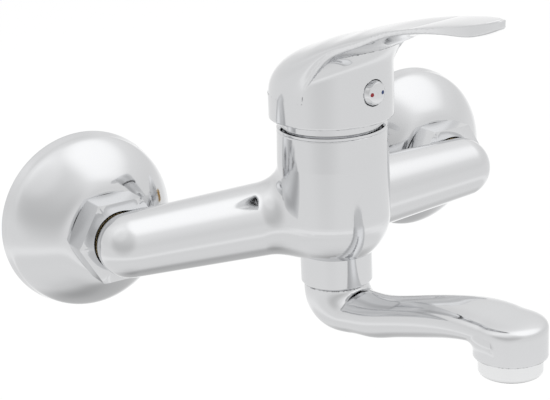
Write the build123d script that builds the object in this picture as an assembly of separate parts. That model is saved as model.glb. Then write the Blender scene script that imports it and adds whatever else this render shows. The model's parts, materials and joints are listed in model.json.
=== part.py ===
from build123d import *
import math
import os

# Wall-mounted basin mixer with one lever and a swivel spout.
# Millimetres. X runs along the wall, the tiled wall is the plane y = 0, the tap stands out
# towards -Y and Z is up. The origin lies on the wall, midway between the two inlets.

# Layout
inlet_spacing = 150.0
axis_reach = 60.0
handle_turn = 10.0
spout_turn = 10.0
inlet_x = inlet_spacing / 2

# Clearances
running_gap = 0.05
slip_gap = 0.3
easy_gap = 0.1

# Pipe threads, as plain cylinders at their outside radius
wall_thread_radius = 10.4775
union_thread_radius = 13.22

# Wall covers
rosette_radius = 34.1
rosette_wall = 1.2
rosette_skirt = 4.0
rosette_skirt_taper = 0.9
rosette_reach = 21.0
rosette_shoulder_inset = 2.7
rosette_shoulder_reach = 8.6
rosette_waist_inset = 11.1
rosette_waist_reach = 17.2
rosette_neck_land = 2.0
rosette_neck_slope = 0.12
rosette_top_radius = rosette_radius - rosette_skirt_taper
rosette_shoulder_radius = rosette_radius - rosette_shoulder_inset
rosette_waist_radius = rosette_radius - rosette_waist_inset

# Union nuts, seats and washers
nut_wall = 1.68
nut_flats = 2 * (union_thread_radius + easy_gap + nut_wall)
nut_height = 11.5
nut_back_gap = 0.4
nut_lip = 2.2
nut_play = 0.7
nut_bevel = 1.8
nut_bevel_height = 1.08
nut_front_bevel = 0.72
nut_front_bevel_height = 0.45
nut_back = rosette_reach + nut_back_gap
nut_front = nut_back + nut_height
nut_lip_back = nut_front - nut_lip
neck_radius = 10.0
neck_wall = 1.5
seat_flange = 2.0
seat_flange_margin = 0.62
seat_flange_radius = union_thread_radius - seat_flange_margin
seat_screw_length = 9.0
seat_screw_radius = neck_radius - neck_wall
seat_wall = 1.3
seat_bore = seat_screw_radius - seat_wall
seat_flange_front = nut_lip_back - slip_gap
seat_flange_back = seat_flange_front - seat_flange
washer_thickness = 2.0

# Wall unions
wall_tail_length = 16.0
wall_tail_bore = 7.0
eccentric_offset = 10.0
eccentric_radius = 17.0
eccentric_back = 2.0
eccentric_thickness = 7.0
union_bore = 8.0
union_face_reach = seat_flange_back - washer_thickness

# Cartridge, across
cartridge_radius = 17.4
cartridge_wall = 1.8
cartridge_neck_wall = 2.0
disc_radius = cartridge_radius - cartridge_wall - slip_gap
moving_disc_margin = 2.6
moving_disc_radius = disc_radius - moving_disc_margin
moving_disc_hollow = 7.5
port_radius = 3.0
port_spread = 6.5
port_back = 5.5
port_front = 7.0
seal_height = 1.5
seal_width = 1.5
seal_margin = 0.5
turret_margin = 5.2
turret_radius = cartridge_radius - turret_margin
cartridge_neck_radius = turret_radius + easy_gap + cartridge_neck_wall
cartridge_nut_step = 0.8
cartridge_nut_radius = cartridge_radius + cartridge_nut_step
cartridge_nut_wall = 2.0
cartridge_nut_collar = cartridge_neck_radius + easy_gap + cartridge_nut_wall
cartridge_nut_slot = 3.0

# Body casting
barrel_end_radius = 12.0
barrel_end_reach = 38.5
barrel_root_radius = 14.8
barrel_root_reach = 45.5
barrel_bore = 5.2
barrel_bore_stop = 6.0
barrel_bore_end_reach = 40.0
nut_relief_gap = 0.5
barrel_fillet = 9.0
body_top = 36.0
body_wall = 2.3
body_top_radius = cartridge_nut_radius + body_wall
body_belly_swell = 0.4
body_belly_radius = body_top_radius + body_belly_swell
body_belly_top = 24.0
body_belly_bottom = 6.0
body_chin_inset = 2.0
body_chin_radius = body_belly_radius - body_chin_inset
body_chin_height = -3.6
body_bottom = -12.0
body_bottom_radius = 14.2
outlet_bore = 9.3
outlet_bore_top = body_bottom + 9.5
outlet_boss_wall = 2.7
outlet_boss_radius = outlet_bore + outlet_boss_wall
outlet_boss_length = 7.5
boss_bottom_of_body = body_bottom - outlet_boss_length

# Cartridge, upwards
cartridge_nut_depth = 6.0
cartridge_shoulder = body_top - cartridge_nut_depth
cartridge_shoulder_wall = 2.0
cartridge_headroom = 1.85
cartridge_base_height = 3.5
disc_thickness = 3.0
moving_disc_thickness = 3.0
carrier_height = 5.6
carrier_top = cartridge_shoulder - cartridge_shoulder_wall - cartridge_headroom
carrier_bottom = carrier_top - carrier_height
moving_disc_bottom = carrier_bottom - moving_disc_thickness
fixed_disc_bottom = moving_disc_bottom - running_gap - disc_thickness
cartridge_seat = fixed_disc_bottom - cartridge_base_height
cartridge_neck_top = body_top + 4.0
cartridge_nut_top = body_top + 3.0
turret_top = cartridge_neck_top + 1.5
turret_floor_gap = 0.4
turret_bottom = cartridge_shoulder - cartridge_shoulder_wall + turret_floor_gap
pivot_height = cartridge_shoulder + 4.0
pivot_pin_radius = 1.5
pivot_pin_inset = 1.0
stem_width = 7.0
stem_chamfer = 0.6
stem_bottom = pivot_height - 6.5
stem_ball_radius = 2.6
stem_waist_share = 0.7
stem_ball_height = pivot_height - 10.0
lift_angle = 25.0
disc_travel = (pivot_height - stem_ball_height) * math.radians(lift_angle)
disc_rest_shift = disc_travel / 2

# Trim ring
trim_ring_lip = 1.0
trim_ring_step = 0.4
trim_ring_neck_inset = 0.8
trim_ring_neck_radius = body_top_radius - trim_ring_neck_inset
trim_ring_top = body_top + 5.2
trim_ring_edge = 0.8
trim_ring_edge_height = 1.2
trim_ring_top_radius = trim_ring_neck_radius - trim_ring_edge
trim_ring_plate = 1.6
trim_ring_opening = cartridge_neck_radius + 1.1

# Handle, in its own frame: the lever points along -Y from the upright axis
hood_cavity_margin = 1.2
hood_cavity_radius = trim_ring_neck_radius + hood_cavity_margin
hood_wall = 2.3
hood_radius = hood_cavity_radius + hood_wall
hood_bottom = body_top + 4.0
hood_edge_round = 1.0
hood_cavity_shoulder = hood_bottom + 10.0
hood_cavity_top = hood_bottom + 20.0
hood_cavity_top_radius = 11.0
stem_top = hood_cavity_top
boss_radius = 7.5
boss_bottom = hood_bottom + 7.5
screw_height = hood_bottom + 12.6
screw_radius = 2.5
screw_length = 8.0
screw_socket_flats = 2.5
screw_socket_depth = 3.0
screw_boss_radius = 5.2
screw_boss_overlap = 0.5
access_radius = 3.2

# The lever bends over the hood about a line across it. A station is the angle round the bend from
# the back, and after the bend two for each millimetre of reach. Each curve below gives a value at
# a few stations, the last one being the tip.
bend_reach = 30.0
bend_height = hood_bottom + 10.0
bend_end = 90.0
lever_tip = 197.0
lever_start_inset = 0.25
lever_start_edge = 22.3
lever_start_radius = hood_radius - lever_start_inset
lever_start_rise = bend_reach + lever_start_radius - lever_start_edge
lever_start_centre = (bend_reach - lever_start_edge) / lever_start_rise
lever_start_half_width = math.sqrt(lever_start_radius**2 - (bend_reach - lever_start_edge) ** 2)
lever_edge = [(0, lever_start_edge), (30, 21.3), (65, 22.2), (90, 24.4), (115, 29.6), (150, 33.3), (197, 37)]
lever_rise = [
    (0, lever_start_rise),
    (15, 24.8),
    (30, 15.4),
    (45, 9.6),
    (65, 5.0),
    (90, 3.9),
    (125, 0.6),
    (197, 0.4),
]
lever_half_width = [(0, lever_start_half_width), (60, 19.6), (110, 16.5), (150, 12.1), (175, 9.0), (197, 1.6)]
lever_centre = [(0, lever_start_centre), (45, 0.22), (90, 0.0), (197, 0.0)]
lever_depth = [(0, 0.6), (30, 1.2), (60, 1.4), (100, 1.7), (152, 1.8), (168, 2.7), (182, 3.8), (197, 2.4)]
lever_side_inset = 0.3
lever_underside_swell = 0.12
lever_station_steps = 22
crown_steps = 10

# Hollow flare between the round front of the hood and the underside of the lever
flare_radius = 9.0
flare_sweep = 63.0
flare_height = hood_bottom + 22.3
flare_slope = 0.457
flare_overrun = 4.0
flare_inset = 0.3
flare_cover = 0.8
flare_end_reach = 36.0

# Indicator plug, standing a little proud of the hood's front
plug_radius = 4.8
plug_depth = 4.8
plug_seat_reach = hood_radius - plug_depth
plug_rim_reach = hood_radius - 0.6
plug_bevel = 0.8
plug_bevel_length = 1.7
plug_face_radius = plug_radius - plug_bevel
plug_face_reach = plug_rim_reach + plug_bevel_length
plug_crown = 0.5
plug_shank_length = 3.0
dot_radius = 0.75
dot_spread = 2.6
dot_depth = 0.3

# Collar, slide ring, snap ring and seals of the swivel joint
collar_wall = 1.5
collar_radius = outlet_boss_radius + running_gap + collar_wall
collar_height = 12.2
collar_bottom = body_bottom - collar_height
collar_lip = 1.8
collar_floor = collar_bottom + collar_lip
collar_bevel = 0.8
tail_radius = outlet_bore - easy_gap
tail_top = body_bottom + 4.0
snap_ring_margin = 0.7
snap_ring_radius = outlet_boss_radius - snap_ring_margin
snap_ring_thickness = 1.4
snap_ring_groove = 0.9
snap_ring_gap_angle = 40.0
snap_ring_top = boss_bottom_of_body - slip_gap
snap_ring_bottom = snap_ring_top - snap_ring_thickness
slide_ring_thickness = 0.5
o_ring_section = 1.8
o_ring_outer = outlet_bore - running_gap
o_ring_inner = o_ring_outer - o_ring_section
o_ring_heights = (body_bottom + 0.5, body_bottom - 4.0)

# Spout, in its own frame: it points along -Y from the upright axis
spout_stub_radius = 12.3
spout_top = collar_bottom - slip_gap
spout_bend_reach = 13.3
spout_bend_inside = 1.0
spout_lower_power = 2.1
spout_upper_share = 0.45
spout_section_points = 32
# Outside of the bend: angle from level, distance from the bend's line and half width
spout_bend = [
    (0, spout_bend_reach + spout_stub_radius, spout_stub_radius),
    (20, 26.0, 12.2),
    (40, 24.5, 11.8),
    (80, 18.7, 10.5),
]
outlet_reach = 86.7
# Arm and head: share of the outlet's reach, height of the top and of the underside above the top of
# the spout, half width and power of the top's curve
spout_arm = [
    (0.254, -0.4, -16.7, 9.9, 2.0),
    (0.392, 2.2, -13.3, 9.6, 2.2),
    (0.5305, 5.5, -9.7, 10.1, 2.4),
    (0.669, 8.2, -6.1, 11.3, 2.8),
    (0.784, 9.6, -3.3, 12.5, 3.2),
    (0.894, 9.8, -1.5, 12.9, 3.5),
    (1.015, 9.1, -1.1, 12.3, 3.6),
]
spout_bore_radius = 4.2
# How far back from the outlet's axis the waterway has its corners inside the head
passage_corners = (18.7272, 9.1902, -1.3005)
cup_radius = 13.0
cup_top = spout_top + 9.5
cup_edge_height = 4.6
cup_power = 3.5
cup_rim = spout_top - 5.1
cup_roof = 3.5
cup_bore_top = cup_top - cup_roof
cup_wall = 2.0

# Flow straightener
aerator_thread_radius = cup_radius - cup_wall
aerator_step = 0.3
aerator_radius = aerator_thread_radius + aerator_step
aerator_height = 5.6
aerator_bottom = cup_rim - aerator_height
aerator_thread_length = 5.6
aerator_thread_top = cup_rim + aerator_thread_length
aerator_edge = 1.4
aerator_wall = 1.7
aerator_bore = aerator_thread_radius - aerator_wall
aerator_lip = 1.0
aerator_insert_top = aerator_thread_top - 1.0
aerator_insert_wall = 1.2
aerator_floor = 1.2
aerator_cell = 1.5
aerator_bar = 0.5
gasket_height = 1.6
gasket_width = 3.5
gasket_bore = aerator_thread_radius - gasket_width


def rod(radius, low, high):
    """Upright solid cylinder on the Z axis."""
    return Pos(0, 0, low) * Cylinder(radius, high - low, align=(Align.CENTER, Align.CENTER, Align.MIN))


def tube(outer, inner, low, high):
    """Upright hollow cylinder on the Z axis."""
    return rod(outer, low, high) - rod(inner, low - 1, high + 1)


def turned(points, closed=True):
    """Solid turned about Z from an outline of (radius, height) points."""
    outline = Polyline(*[(r, 0, z) for r, z in points], close=closed)
    return revolve(make_face(outline), axis=Axis.Z)


def wall_rod(radius, near, far):
    """Solid cylinder along Y, between two distances in front of the wall."""
    return Pos(0, -near, 0) * Rot(90, 0, 0) * rod(radius, 0, far - near)


def wall_tube(outer, inner, near, far):
    """Hollow cylinder along Y."""
    return wall_rod(outer, near, far) - wall_rod(inner, near - 1, far + 1)


def on_axis(shape, turn=0.0):
    """Moves a piece from its own upright axis to the tap's, turned about it."""
    return Pos(0, -axis_reach, 0) * Rot(0, 0, turn) * shape


def save(shape, name):
    """Writes one node; a node of several separate solids is kept as one compound."""
    solids = shape.solids()
    if len(solids) > 1:
        shape = Compound(children=list(solids))
    else:
        shape = solids[0]
    shape.label = name
    export_step(shape, f"parts/{name}.step")


def rosette():
    """Domed wall cover: pressed shell with a straight skirt, a shoulder, a waist and a neck."""
    neck = union_thread_radius + slip_gap
    skirt = Line((rosette_radius, 0, 0), (rosette_top_radius, 0, rosette_skirt))
    dome = Spline(
        (rosette_top_radius, 0, rosette_skirt),
        (rosette_shoulder_radius, 0, rosette_shoulder_reach),
        (rosette_waist_radius, 0, rosette_waist_reach),
        (neck + rosette_neck_land, 0, rosette_reach),
        tangents=((0, 0, 1), (-1, 0, rosette_neck_slope)),
    )
    face_line = Line((neck + rosette_neck_land, 0, rosette_reach), (neck, 0, rosette_reach))
    inner_line = Line((neck, 0, rosette_reach), (neck, 0, rosette_reach - rosette_wall))
    inner_land = Line(
        (neck, 0, rosette_reach - rosette_wall),
        (neck + rosette_neck_land, 0, rosette_reach - rosette_wall),
    )
    inner_dome = Spline(
        (neck + rosette_neck_land, 0, rosette_reach - rosette_wall),
        (rosette_waist_radius - 0.5 * rosette_wall, 0, rosette_waist_reach - rosette_wall),
        (rosette_shoulder_radius - rosette_wall, 0, rosette_shoulder_reach - 0.6 * rosette_wall),
        (rosette_top_radius - rosette_wall, 0, rosette_skirt),
        tangents=((1, 0, -rosette_neck_slope), (0, 0, -1)),
    )
    inner_skirt = Line(
        (rosette_top_radius - rosette_wall, 0, rosette_skirt),
        (rosette_radius - rosette_wall, 0, 0),
    )
    rim = Line((rosette_radius - rosette_wall, 0, 0), (rosette_radius, 0, 0))
    outline = Wire([skirt, dome, face_line, inner_line, inner_land, inner_dome, inner_skirt, rim])
    return Rot(90, 0, 0) * revolve(make_face(outline), axis=Axis.Z)


def eccentric_union():
    """Offset union: wall tail below the nut's axis, thick offset web and threaded front."""
    drop = Pos(0, 0, -eccentric_offset)
    web_near = eccentric_back
    web_far = eccentric_back + eccentric_thickness
    tail = drop * wall_rod(wall_thread_radius, -wall_tail_length, web_near)
    web = Pos(0, 0, -eccentric_offset / 2) * wall_rod(eccentric_radius, web_near, web_far)
    front = wall_rod(union_thread_radius, web_far, union_face_reach)
    tail_hole = drop * wall_rod(wall_tail_bore, -wall_tail_length - 1, (web_near + web_far) / 2)
    front_hole = wall_rod(union_bore, (web_near + web_far) / 2, union_face_reach + 1)
    crossing = wall_rod(union_bore, web_near + 1, web_far)
    return tail + web + front - tail_hole - front_hole - crossing


def union_nut():
    """Hexagon nut with bevelled corners at the back and a lip that the seat's flange holds."""
    hexagon = RegularPolygon(nut_flats / 2, 6, major_radius=False)
    block = extrude(hexagon, nut_height)
    corner = nut_corner_radius()
    bevel = turned(
        [
            (0, 0),
            (corner - nut_bevel, 0),
            (corner, nut_bevel_height),
            (corner, nut_height - nut_front_bevel_height),
            (corner - nut_front_bevel, nut_height),
            (0, nut_height),
        ]
    )
    nut = block & bevel
    nut -= rod(union_thread_radius + easy_gap, -1, nut_height - nut_lip)
    nut -= rod(neck_radius + nut_play, -1, nut_height + 1)
    return Pos(0, -nut_back, 0) * Rot(90, 0, 0) * nut


def union_seat():
    """Tail piece screwed into the body's neck; its flange holds the nut's lip."""
    flange = wall_rod(seat_flange_radius, seat_flange_back, seat_flange_front)
    screw = wall_rod(seat_screw_radius, seat_flange_front, seat_flange_front + seat_screw_length)
    bore = wall_rod(seat_bore, seat_flange_back - 1, seat_flange_front + seat_screw_length + 1)
    return flange + screw - bore


def union_washer():
    """Flat rubber washer between the seat's flange and the wall union."""
    return wall_tube(seat_flange_radius, union_bore, union_face_reach, seat_flange_back)


def nut_corner_radius():
    """Half the nut's width over its corners."""
    return nut_flats / 2 / math.cos(math.pi / 6)


def barrel_arm(side):
    """Tapered arm from the middle of the body to one elbow, relieved behind for the union nut."""
    root = Vector(0, -barrel_root_reach, 0)
    end = Vector(side * inlet_x, -barrel_end_reach, 0)
    along = (end - root).normalized()
    arm = loft(
        [
            Plane(origin=root, z_dir=along) * Circle(barrel_root_radius),
            Plane(origin=end, z_dir=along) * Circle(barrel_end_radius),
        ]
    )
    middle = Pos(*root) * Sphere(barrel_root_radius)
    elbow = Pos(*end) * Sphere(barrel_end_radius)
    inlet = Pos(side * inlet_x, 0, 0)
    relief = inlet * wall_rod(nut_corner_radius() + nut_relief_gap, 0, nut_front + slip_gap)
    neck = inlet * wall_rod(neck_radius, seat_flange_front, barrel_end_reach)
    return arm + middle + elbow - relief + neck


def barrel_waterway(side):
    """Bore from the neck through the elbow and along one arm, and up to the cartridge."""
    root = Vector(0, -barrel_root_reach, 0)
    end = Vector(side * inlet_x, -barrel_bore_end_reach, 0)
    along = (end - root).normalized()
    start = root + along * barrel_bore_stop
    arm = Plane(origin=start, z_dir=along) * rod(barrel_bore, 0, (end - start).length)
    ball = Pos(*end) * Sphere(barrel_bore)
    thread_far = seat_flange_front + seat_screw_length + slip_gap
    thread = Pos(side * inlet_x, 0, 0) * wall_rod(seat_screw_radius, seat_flange_front - 1, thread_far)
    port_foot = Vector(side * port_spread, port_back - axis_reach, port_radius)
    port = Pos(*port_foot) * (Sphere(port_radius) + rod(port_radius, 0, cartridge_seat + 1 - port_radius))
    link_end = start + along * barrel_bore
    link = Plane(origin=port_foot, z_dir=link_end - port_foot) * rod(
        port_radius, 0, (link_end - port_foot).length
    )
    return arm + ball + thread + port + link


def body_outline():
    """Upright part of the body: belly and bowl-shaped bottom."""
    side = Line((body_belly_radius, 0, body_belly_bottom), (body_belly_radius, 0, body_belly_top))
    taper = Line((body_belly_radius, 0, body_belly_top), (body_top_radius, 0, body_top))
    lid = Line((body_top_radius, 0, body_top), (0, 0, body_top))
    middle = Line((0, 0, body_top), (0, 0, body_bottom))
    floor = Line((0, 0, body_bottom), (body_bottom_radius, 0, body_bottom))
    bowl = ThreePointArc(
        (body_bottom_radius, 0, body_bottom),
        (body_chin_radius, 0, body_chin_height),
        (body_belly_radius, 0, body_belly_bottom),
    )
    return revolve(make_face(Wire([side, taper, lid, middle, floor, bowl])), axis=Axis.Z)


def mixer_body():
    """Cast body: upright barrel, two arms, waterways, cartridge well and outlet boss."""
    upright = on_axis(body_outline())
    arms = barrel_arm(-1) + barrel_arm(1)
    casting = upright + arms
    joints = new_edges(upright, arms, combined=casting)
    casting = fillet([e for e in joints if e.center().Z > body_bottom + 1], barrel_fillet)
    casting -= on_axis(rod(collar_radius + slip_gap, boss_bottom_of_body - 1, body_bottom))
    casting += on_axis(rod(outlet_boss_radius, boss_bottom_of_body, body_bottom + 1))
    well = rod(cartridge_radius + easy_gap, cartridge_seat, body_top + 1)
    thread = rod(cartridge_nut_radius + running_gap, cartridge_shoulder - slip_gap, body_top + 1)
    outlet = rod(outlet_bore, boss_bottom_of_body - 1, outlet_bore_top)
    mixed = Pos(0, -port_front, 0) * rod(port_radius, outlet_bore_top - 1, cartridge_seat + 1)
    casting -= on_axis(well + thread + outlet + mixed)
    for side in (-1, 1):
        casting -= barrel_waterway(side)
    return casting


def port_places():
    """Centres of the hot, cold and mixed water ports about the cartridge's axis."""
    return [(-port_spread, port_back), (port_spread, port_back), (0, -port_front)]


def cartridge_base():
    """Plastic foot of the cartridge with three ports and a groove under each for its seal."""
    base = rod(cartridge_radius, cartridge_seat, fixed_disc_bottom)
    for x, y in port_places():
        base -= Pos(x, y, 0) * rod(port_radius, cartridge_seat - 1, fixed_disc_bottom + 1)
        ring = tube(port_radius + seal_margin + seal_width, port_radius + seal_margin, 0, seal_height)
        base -= Pos(x, y, cartridge_seat) * ring
    return on_axis(base)


def cartridge_seals():
    """Three rubber rings under the cartridge, one round each port."""
    rings = [
        Pos(x, y, cartridge_seat)
        * tube(port_radius + seal_margin + seal_width, port_radius + seal_margin, 0, seal_height)
        for x, y in port_places()
    ]
    return on_axis(Compound(children=rings))


def fixed_disc():
    """Ceramic disc with the three ports, held by the housing."""
    disc = rod(disc_radius, fixed_disc_bottom, fixed_disc_bottom + disc_thickness)
    for x, y in port_places():
        disc -= Pos(x, y, 0) * rod(port_radius, fixed_disc_bottom - 1, fixed_disc_bottom + disc_thickness + 1)
    return on_axis(disc)


def moving_disc():
    """Ceramic disc with the mixing hollow in its underside; it rests back by half its travel."""
    disc = rod(moving_disc_radius, moving_disc_bottom, carrier_bottom)
    disc -= rod(moving_disc_hollow, moving_disc_bottom - 1, moving_disc_bottom + moving_disc_thickness / 2)
    return on_axis(Pos(0, disc_rest_shift, 0) * disc, handle_turn)


def disc_carrier():
    """Plastic carrier on the moving disc, with a pocket for the ball of the lever stem."""
    carrier = Pos(0, disc_rest_shift, 0) * rod(moving_disc_radius, carrier_bottom, carrier_top)
    pocket = 2 * (stem_ball_radius + slip_gap)
    floor = stem_ball_height - stem_ball_radius - slip_gap
    carrier -= Pos(0, 0, (floor + carrier_top + 1) / 2) * Box(pocket, pocket, carrier_top + 1 - floor)
    return on_axis(carrier, handle_turn)


def cartridge_housing():
    """Plastic cup over the discs with a neck that guides the turret."""
    shoulder_floor = cartridge_shoulder - cartridge_shoulder_wall
    inner = cartridge_radius - cartridge_wall
    housing = rod(cartridge_radius, fixed_disc_bottom, cartridge_shoulder)
    housing += rod(cartridge_neck_radius, cartridge_shoulder, cartridge_neck_top)
    housing -= rod(inner, fixed_disc_bottom - 1, shoulder_floor)
    housing -= rod(turret_radius + easy_gap, shoulder_floor - 1, cartridge_neck_top + 1)
    return on_axis(housing)


def stem_slot(low, high):
    """Room for the stem through its whole tilt, between two heights."""
    tilt = math.radians(lift_angle)
    half = stem_width / 2 / math.cos(tilt) + slip_gap
    back = half + (high - pivot_height) * math.tan(tilt)
    front = half + (pivot_height - low) * math.tan(tilt)
    slot = Box(stem_width + 2 * easy_gap, back + front, high - low + 2)
    return Pos(0, (back - front) / 2, (low + high) / 2) * slot


def cartridge_turret():
    """Plastic guide that turns with the handle and carries the pivot pin."""
    turret = rod(turret_radius, turret_bottom, turret_top)
    turret -= stem_slot(turret_bottom, turret_top)
    turret -= Pos(0, 0, pivot_height) * Rot(0, 90, 0) * Cylinder(pivot_pin_radius, 2 * pin_half_length())
    return on_axis(turret, handle_turn)


def pin_half_length():
    """The pin ends just inside the turret's wall."""
    return turret_radius - pivot_pin_inset


def pivot_pin():
    """Steel pin across the turret."""
    pin = Pos(0, 0, pivot_height) * Rot(0, 90, 0) * Cylinder(pivot_pin_radius, 2 * pin_half_length())
    return on_axis(pin, handle_turn)


def lever_stem():
    """Square brass stem with the pin hole, a waist and a ball that pushes the carrier."""
    shaft = Pos(0, 0, (stem_bottom + stem_top) / 2) * Box(stem_width, stem_width, stem_top - stem_bottom)
    shaft = chamfer(shaft.edges().group_by(Axis.Z)[-1], stem_chamfer)
    waist = rod(stem_ball_radius * stem_waist_share, stem_ball_height, stem_bottom)
    ball = Pos(0, 0, stem_ball_height) * Sphere(stem_ball_radius)
    stem = shaft + waist + ball
    stem -= Pos(0, 0, pivot_height) * Rot(0, 90, 0) * Cylinder(pivot_pin_radius + running_gap, stem_width + 2)
    return on_axis(stem, handle_turn)


def cartridge_nut():
    """Brass nut that presses the cartridge on its seat."""
    nut = tube(cartridge_nut_radius, cartridge_neck_radius + easy_gap, cartridge_shoulder, body_top)
    nut += tube(cartridge_nut_collar, cartridge_neck_radius + easy_gap, body_top, cartridge_nut_top)
    slot = Box(2 * cartridge_nut_collar + 2, cartridge_nut_slot, cartridge_nut_top - body_top)
    for angle in (0, 90):
        cut = Rot(0, 0, angle) * Pos(0, 0, (body_top + cartridge_nut_top) / 2 + 1) * slot
        nut -= cut
    return on_axis(nut)


def trim_ring():
    """Chromed ring over the cartridge nut, with a thin lip on the body and a narrower neck."""
    inner = cartridge_nut_collar + slip_gap
    ring = turned(
        [
            (inner, body_top),
            (body_top_radius, body_top),
            (body_top_radius, body_top + trim_ring_lip),
            (trim_ring_neck_radius, body_top + trim_ring_lip + trim_ring_step),
            (trim_ring_neck_radius, trim_ring_top - trim_ring_edge_height),
            (trim_ring_top_radius, trim_ring_top),
            (trim_ring_opening, trim_ring_top),
            (trim_ring_opening, trim_ring_top - trim_ring_plate),
            (inner, trim_ring_top - trim_ring_plate),
        ]
    )
    return on_axis(ring)


def smooth(points, at):
    """Value at one place of the smooth curve through (place, value) points, level at its start."""
    steps = [right[0] - left[0] for left, right in zip(points, points[1:])]
    slopes = [(right[1] - left[1]) / (right[0] - left[0]) for left, right in zip(points, points[1:])]
    last = len(points) - 1
    upper = [0.5]
    value = [3 * slopes[0] / steps[0]]
    for i in range(1, last):
        pivot = 2 * (steps[i - 1] + steps[i]) - steps[i - 1] * upper[i - 1]
        upper.append(steps[i] / pivot)
        value.append((6 * (slopes[i] - slopes[i - 1]) - steps[i - 1] * value[i - 1]) / pivot)
    bends = [0.0] * (last + 1)
    for i in range(last - 1, -1, -1):
        bends[i] = value[i] - upper[i] * bends[i + 1]
    i = max(k for k in range(last) if points[k][0] <= at or k == 0)
    ahead = points[i + 1][0] - at
    behind = at - points[i][0]
    curve = (bends[i] * ahead**3 + bends[i + 1] * behind**3) / (6 * steps[i])
    left = (points[i][1] / steps[i] - bends[i] * steps[i] / 6) * ahead
    right = (points[i + 1][1] / steps[i] - bends[i + 1] * steps[i] / 6) * behind
    return curve + left + right


def lever_place(station, distance):
    """Point in the lever's middle plane: on the station's ray, at a distance from the bend's line."""
    ray = math.radians(min(station, bend_end))
    reach = bend_reach + max(station - bend_end, 0.0) / 2
    return Vector(0, -reach + distance * math.cos(ray), bend_height + distance * math.sin(ray))


def lever_section(station):
    """Outline across the lever: crowned top, narrow sides and a gently swelling underside."""
    up = lever_place(station, 1) - lever_place(station, 0)
    origin = lever_place(station, smooth(lever_edge, station))
    plane = Plane(origin=origin, x_dir=(1, 0, 0), z_dir=Vector(1, 0, 0).cross(up))
    half_width = smooth(lever_half_width, station)
    rise = smooth(lever_rise, station)
    centre = smooth(lever_centre, station) * rise
    depth = smooth(lever_depth, station)
    semi_height = rise - centre
    semi_width = half_width / math.sqrt(1 - (centre / semi_height) ** 2)
    start = math.atan2(-centre / semi_height, half_width / semi_width)
    turns = [start + (math.pi - 2 * start) * i / crown_steps for i in range(crown_steps + 1)]
    crown = [(semi_width * math.cos(t), centre + semi_height * math.sin(t)) for t in turns]
    top = Spline(*crown)
    foot = half_width - lever_side_inset
    left = Line((-half_width, 0), (-foot, -depth))
    under = ThreePointArc((-foot, -depth), (0, -depth - lever_underside_swell * half_width), (foot, -depth))
    right = Line((foot, -depth), (half_width, 0))
    return plane * make_face(Wire([top, left, under, right]))


def lever_stations():
    """Stations of the sections, evenly spread from the back of the hood to the tip."""
    return [lever_tip * i / lever_station_steps for i in range(lever_station_steps + 1)]


def lever_band():
    """Lever: a band that rises from the back of the hood, bends over it and runs out to its tip."""
    return loft([lever_section(station) for station in lever_stations()])


def below_lever():
    """Room in front of and below the edge of the lever, right across the handle."""
    stations = [s for s in lever_stations() if bend_reach + max(s - bend_end, 0) / 2 < flare_end_reach]
    curve = Spline(*[lever_place(s, smooth(lever_edge, s) - flare_cover) for s in stations])
    end = curve @ 1
    start = curve @ 0
    corner = Vector(0, end.Y, start.Z)
    side = make_face(Wire([curve, Line(end, corner), Line(corner, start)]))
    return extrude(side, 2 * hood_radius, dir=(1, 0, 0), both=True)


def lever_plan():
    """Room between the two sides of the lever in plan, a little inside them."""
    stations = [s for s in lever_stations() if bend_reach + max(s - bend_end, 0) / 2 < flare_end_reach]
    right = []
    for s in stations:
        place = lever_place(s, smooth(lever_edge, s))
        right.append((smooth(lever_half_width, s) - flare_inset, place.Y))
    left = [(-x, y) for x, y in reversed(right)]
    edges = [Spline(*right), Line(right[-1], left[0]), Spline(*left), Line(left[-1], right[0])]
    return Pos(0, 0, bend_height) * extrude(make_face(Wire(edges)), bend_height)


def flare():
    """Solid whose wall curves out hollow from the hood's front to the underside of the lever."""
    sweep = math.radians(flare_sweep)
    wall = hood_radius
    arc_end = (wall + flare_radius * (1 - math.cos(sweep)), flare_radius * math.sin(sweep))
    arc_middle = (
        wall + flare_radius * (1 - math.cos(sweep / 2)),
        flare_radius * math.sin(sweep / 2),
    )
    far = (
        arc_end[0] + flare_overrun * math.sin(sweep),
        arc_end[1] + flare_overrun * math.cos(sweep),
    )
    arc = ThreePointArc((wall, 0, 0), (arc_middle[0], 0, arc_middle[1]), (arc_end[0], 0, arc_end[1]))
    rest = Polyline(
        (arc_end[0], 0, arc_end[1]), (far[0], 0, far[1]), (0, 0, far[1]), (0, 0, 0), (wall, 0, 0)
    )
    solid = revolve(make_face(Wire([arc] + rest.edges())), axis=Axis.Z)
    lean = Matrix([[1, 0, 0, 0], [0, 1, 0, 0], [0, -flare_slope, 1, flare_height - flare_slope * wall]])
    leaning = solid.solid().transform_geometry(lean)
    return Part() + leaning & lever_plan()


def hood_front():
    """Round front of the hood up to the lever, with the flare under the lever."""
    front = rod(hood_radius, bend_height, bend_height + bend_reach) + flare()
    return front & below_lever()


def hood_skirt():
    """Lower part of the hood, round all the way, with a soft lower edge."""
    skirt = rod(hood_radius, hood_bottom, bend_height)
    return fillet(skirt.edges().group_by(Axis.Z)[0], hood_edge_round)


def hood_cavity():
    """Room inside the hood for the trim ring and the cartridge."""
    return turned(
        [
            (0, hood_bottom - 1),
            (hood_cavity_radius, hood_bottom - 1),
            (hood_cavity_radius, hood_cavity_shoulder),
            (hood_cavity_top_radius, hood_cavity_top),
            (0, hood_cavity_top),
        ]
    )


def screw_tunnel(radius, near, far):
    """Cylinder along the lever's direction at the height of the handle screw."""
    return Pos(0, 0, screw_height) * wall_rod(radius, near, far)


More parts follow.
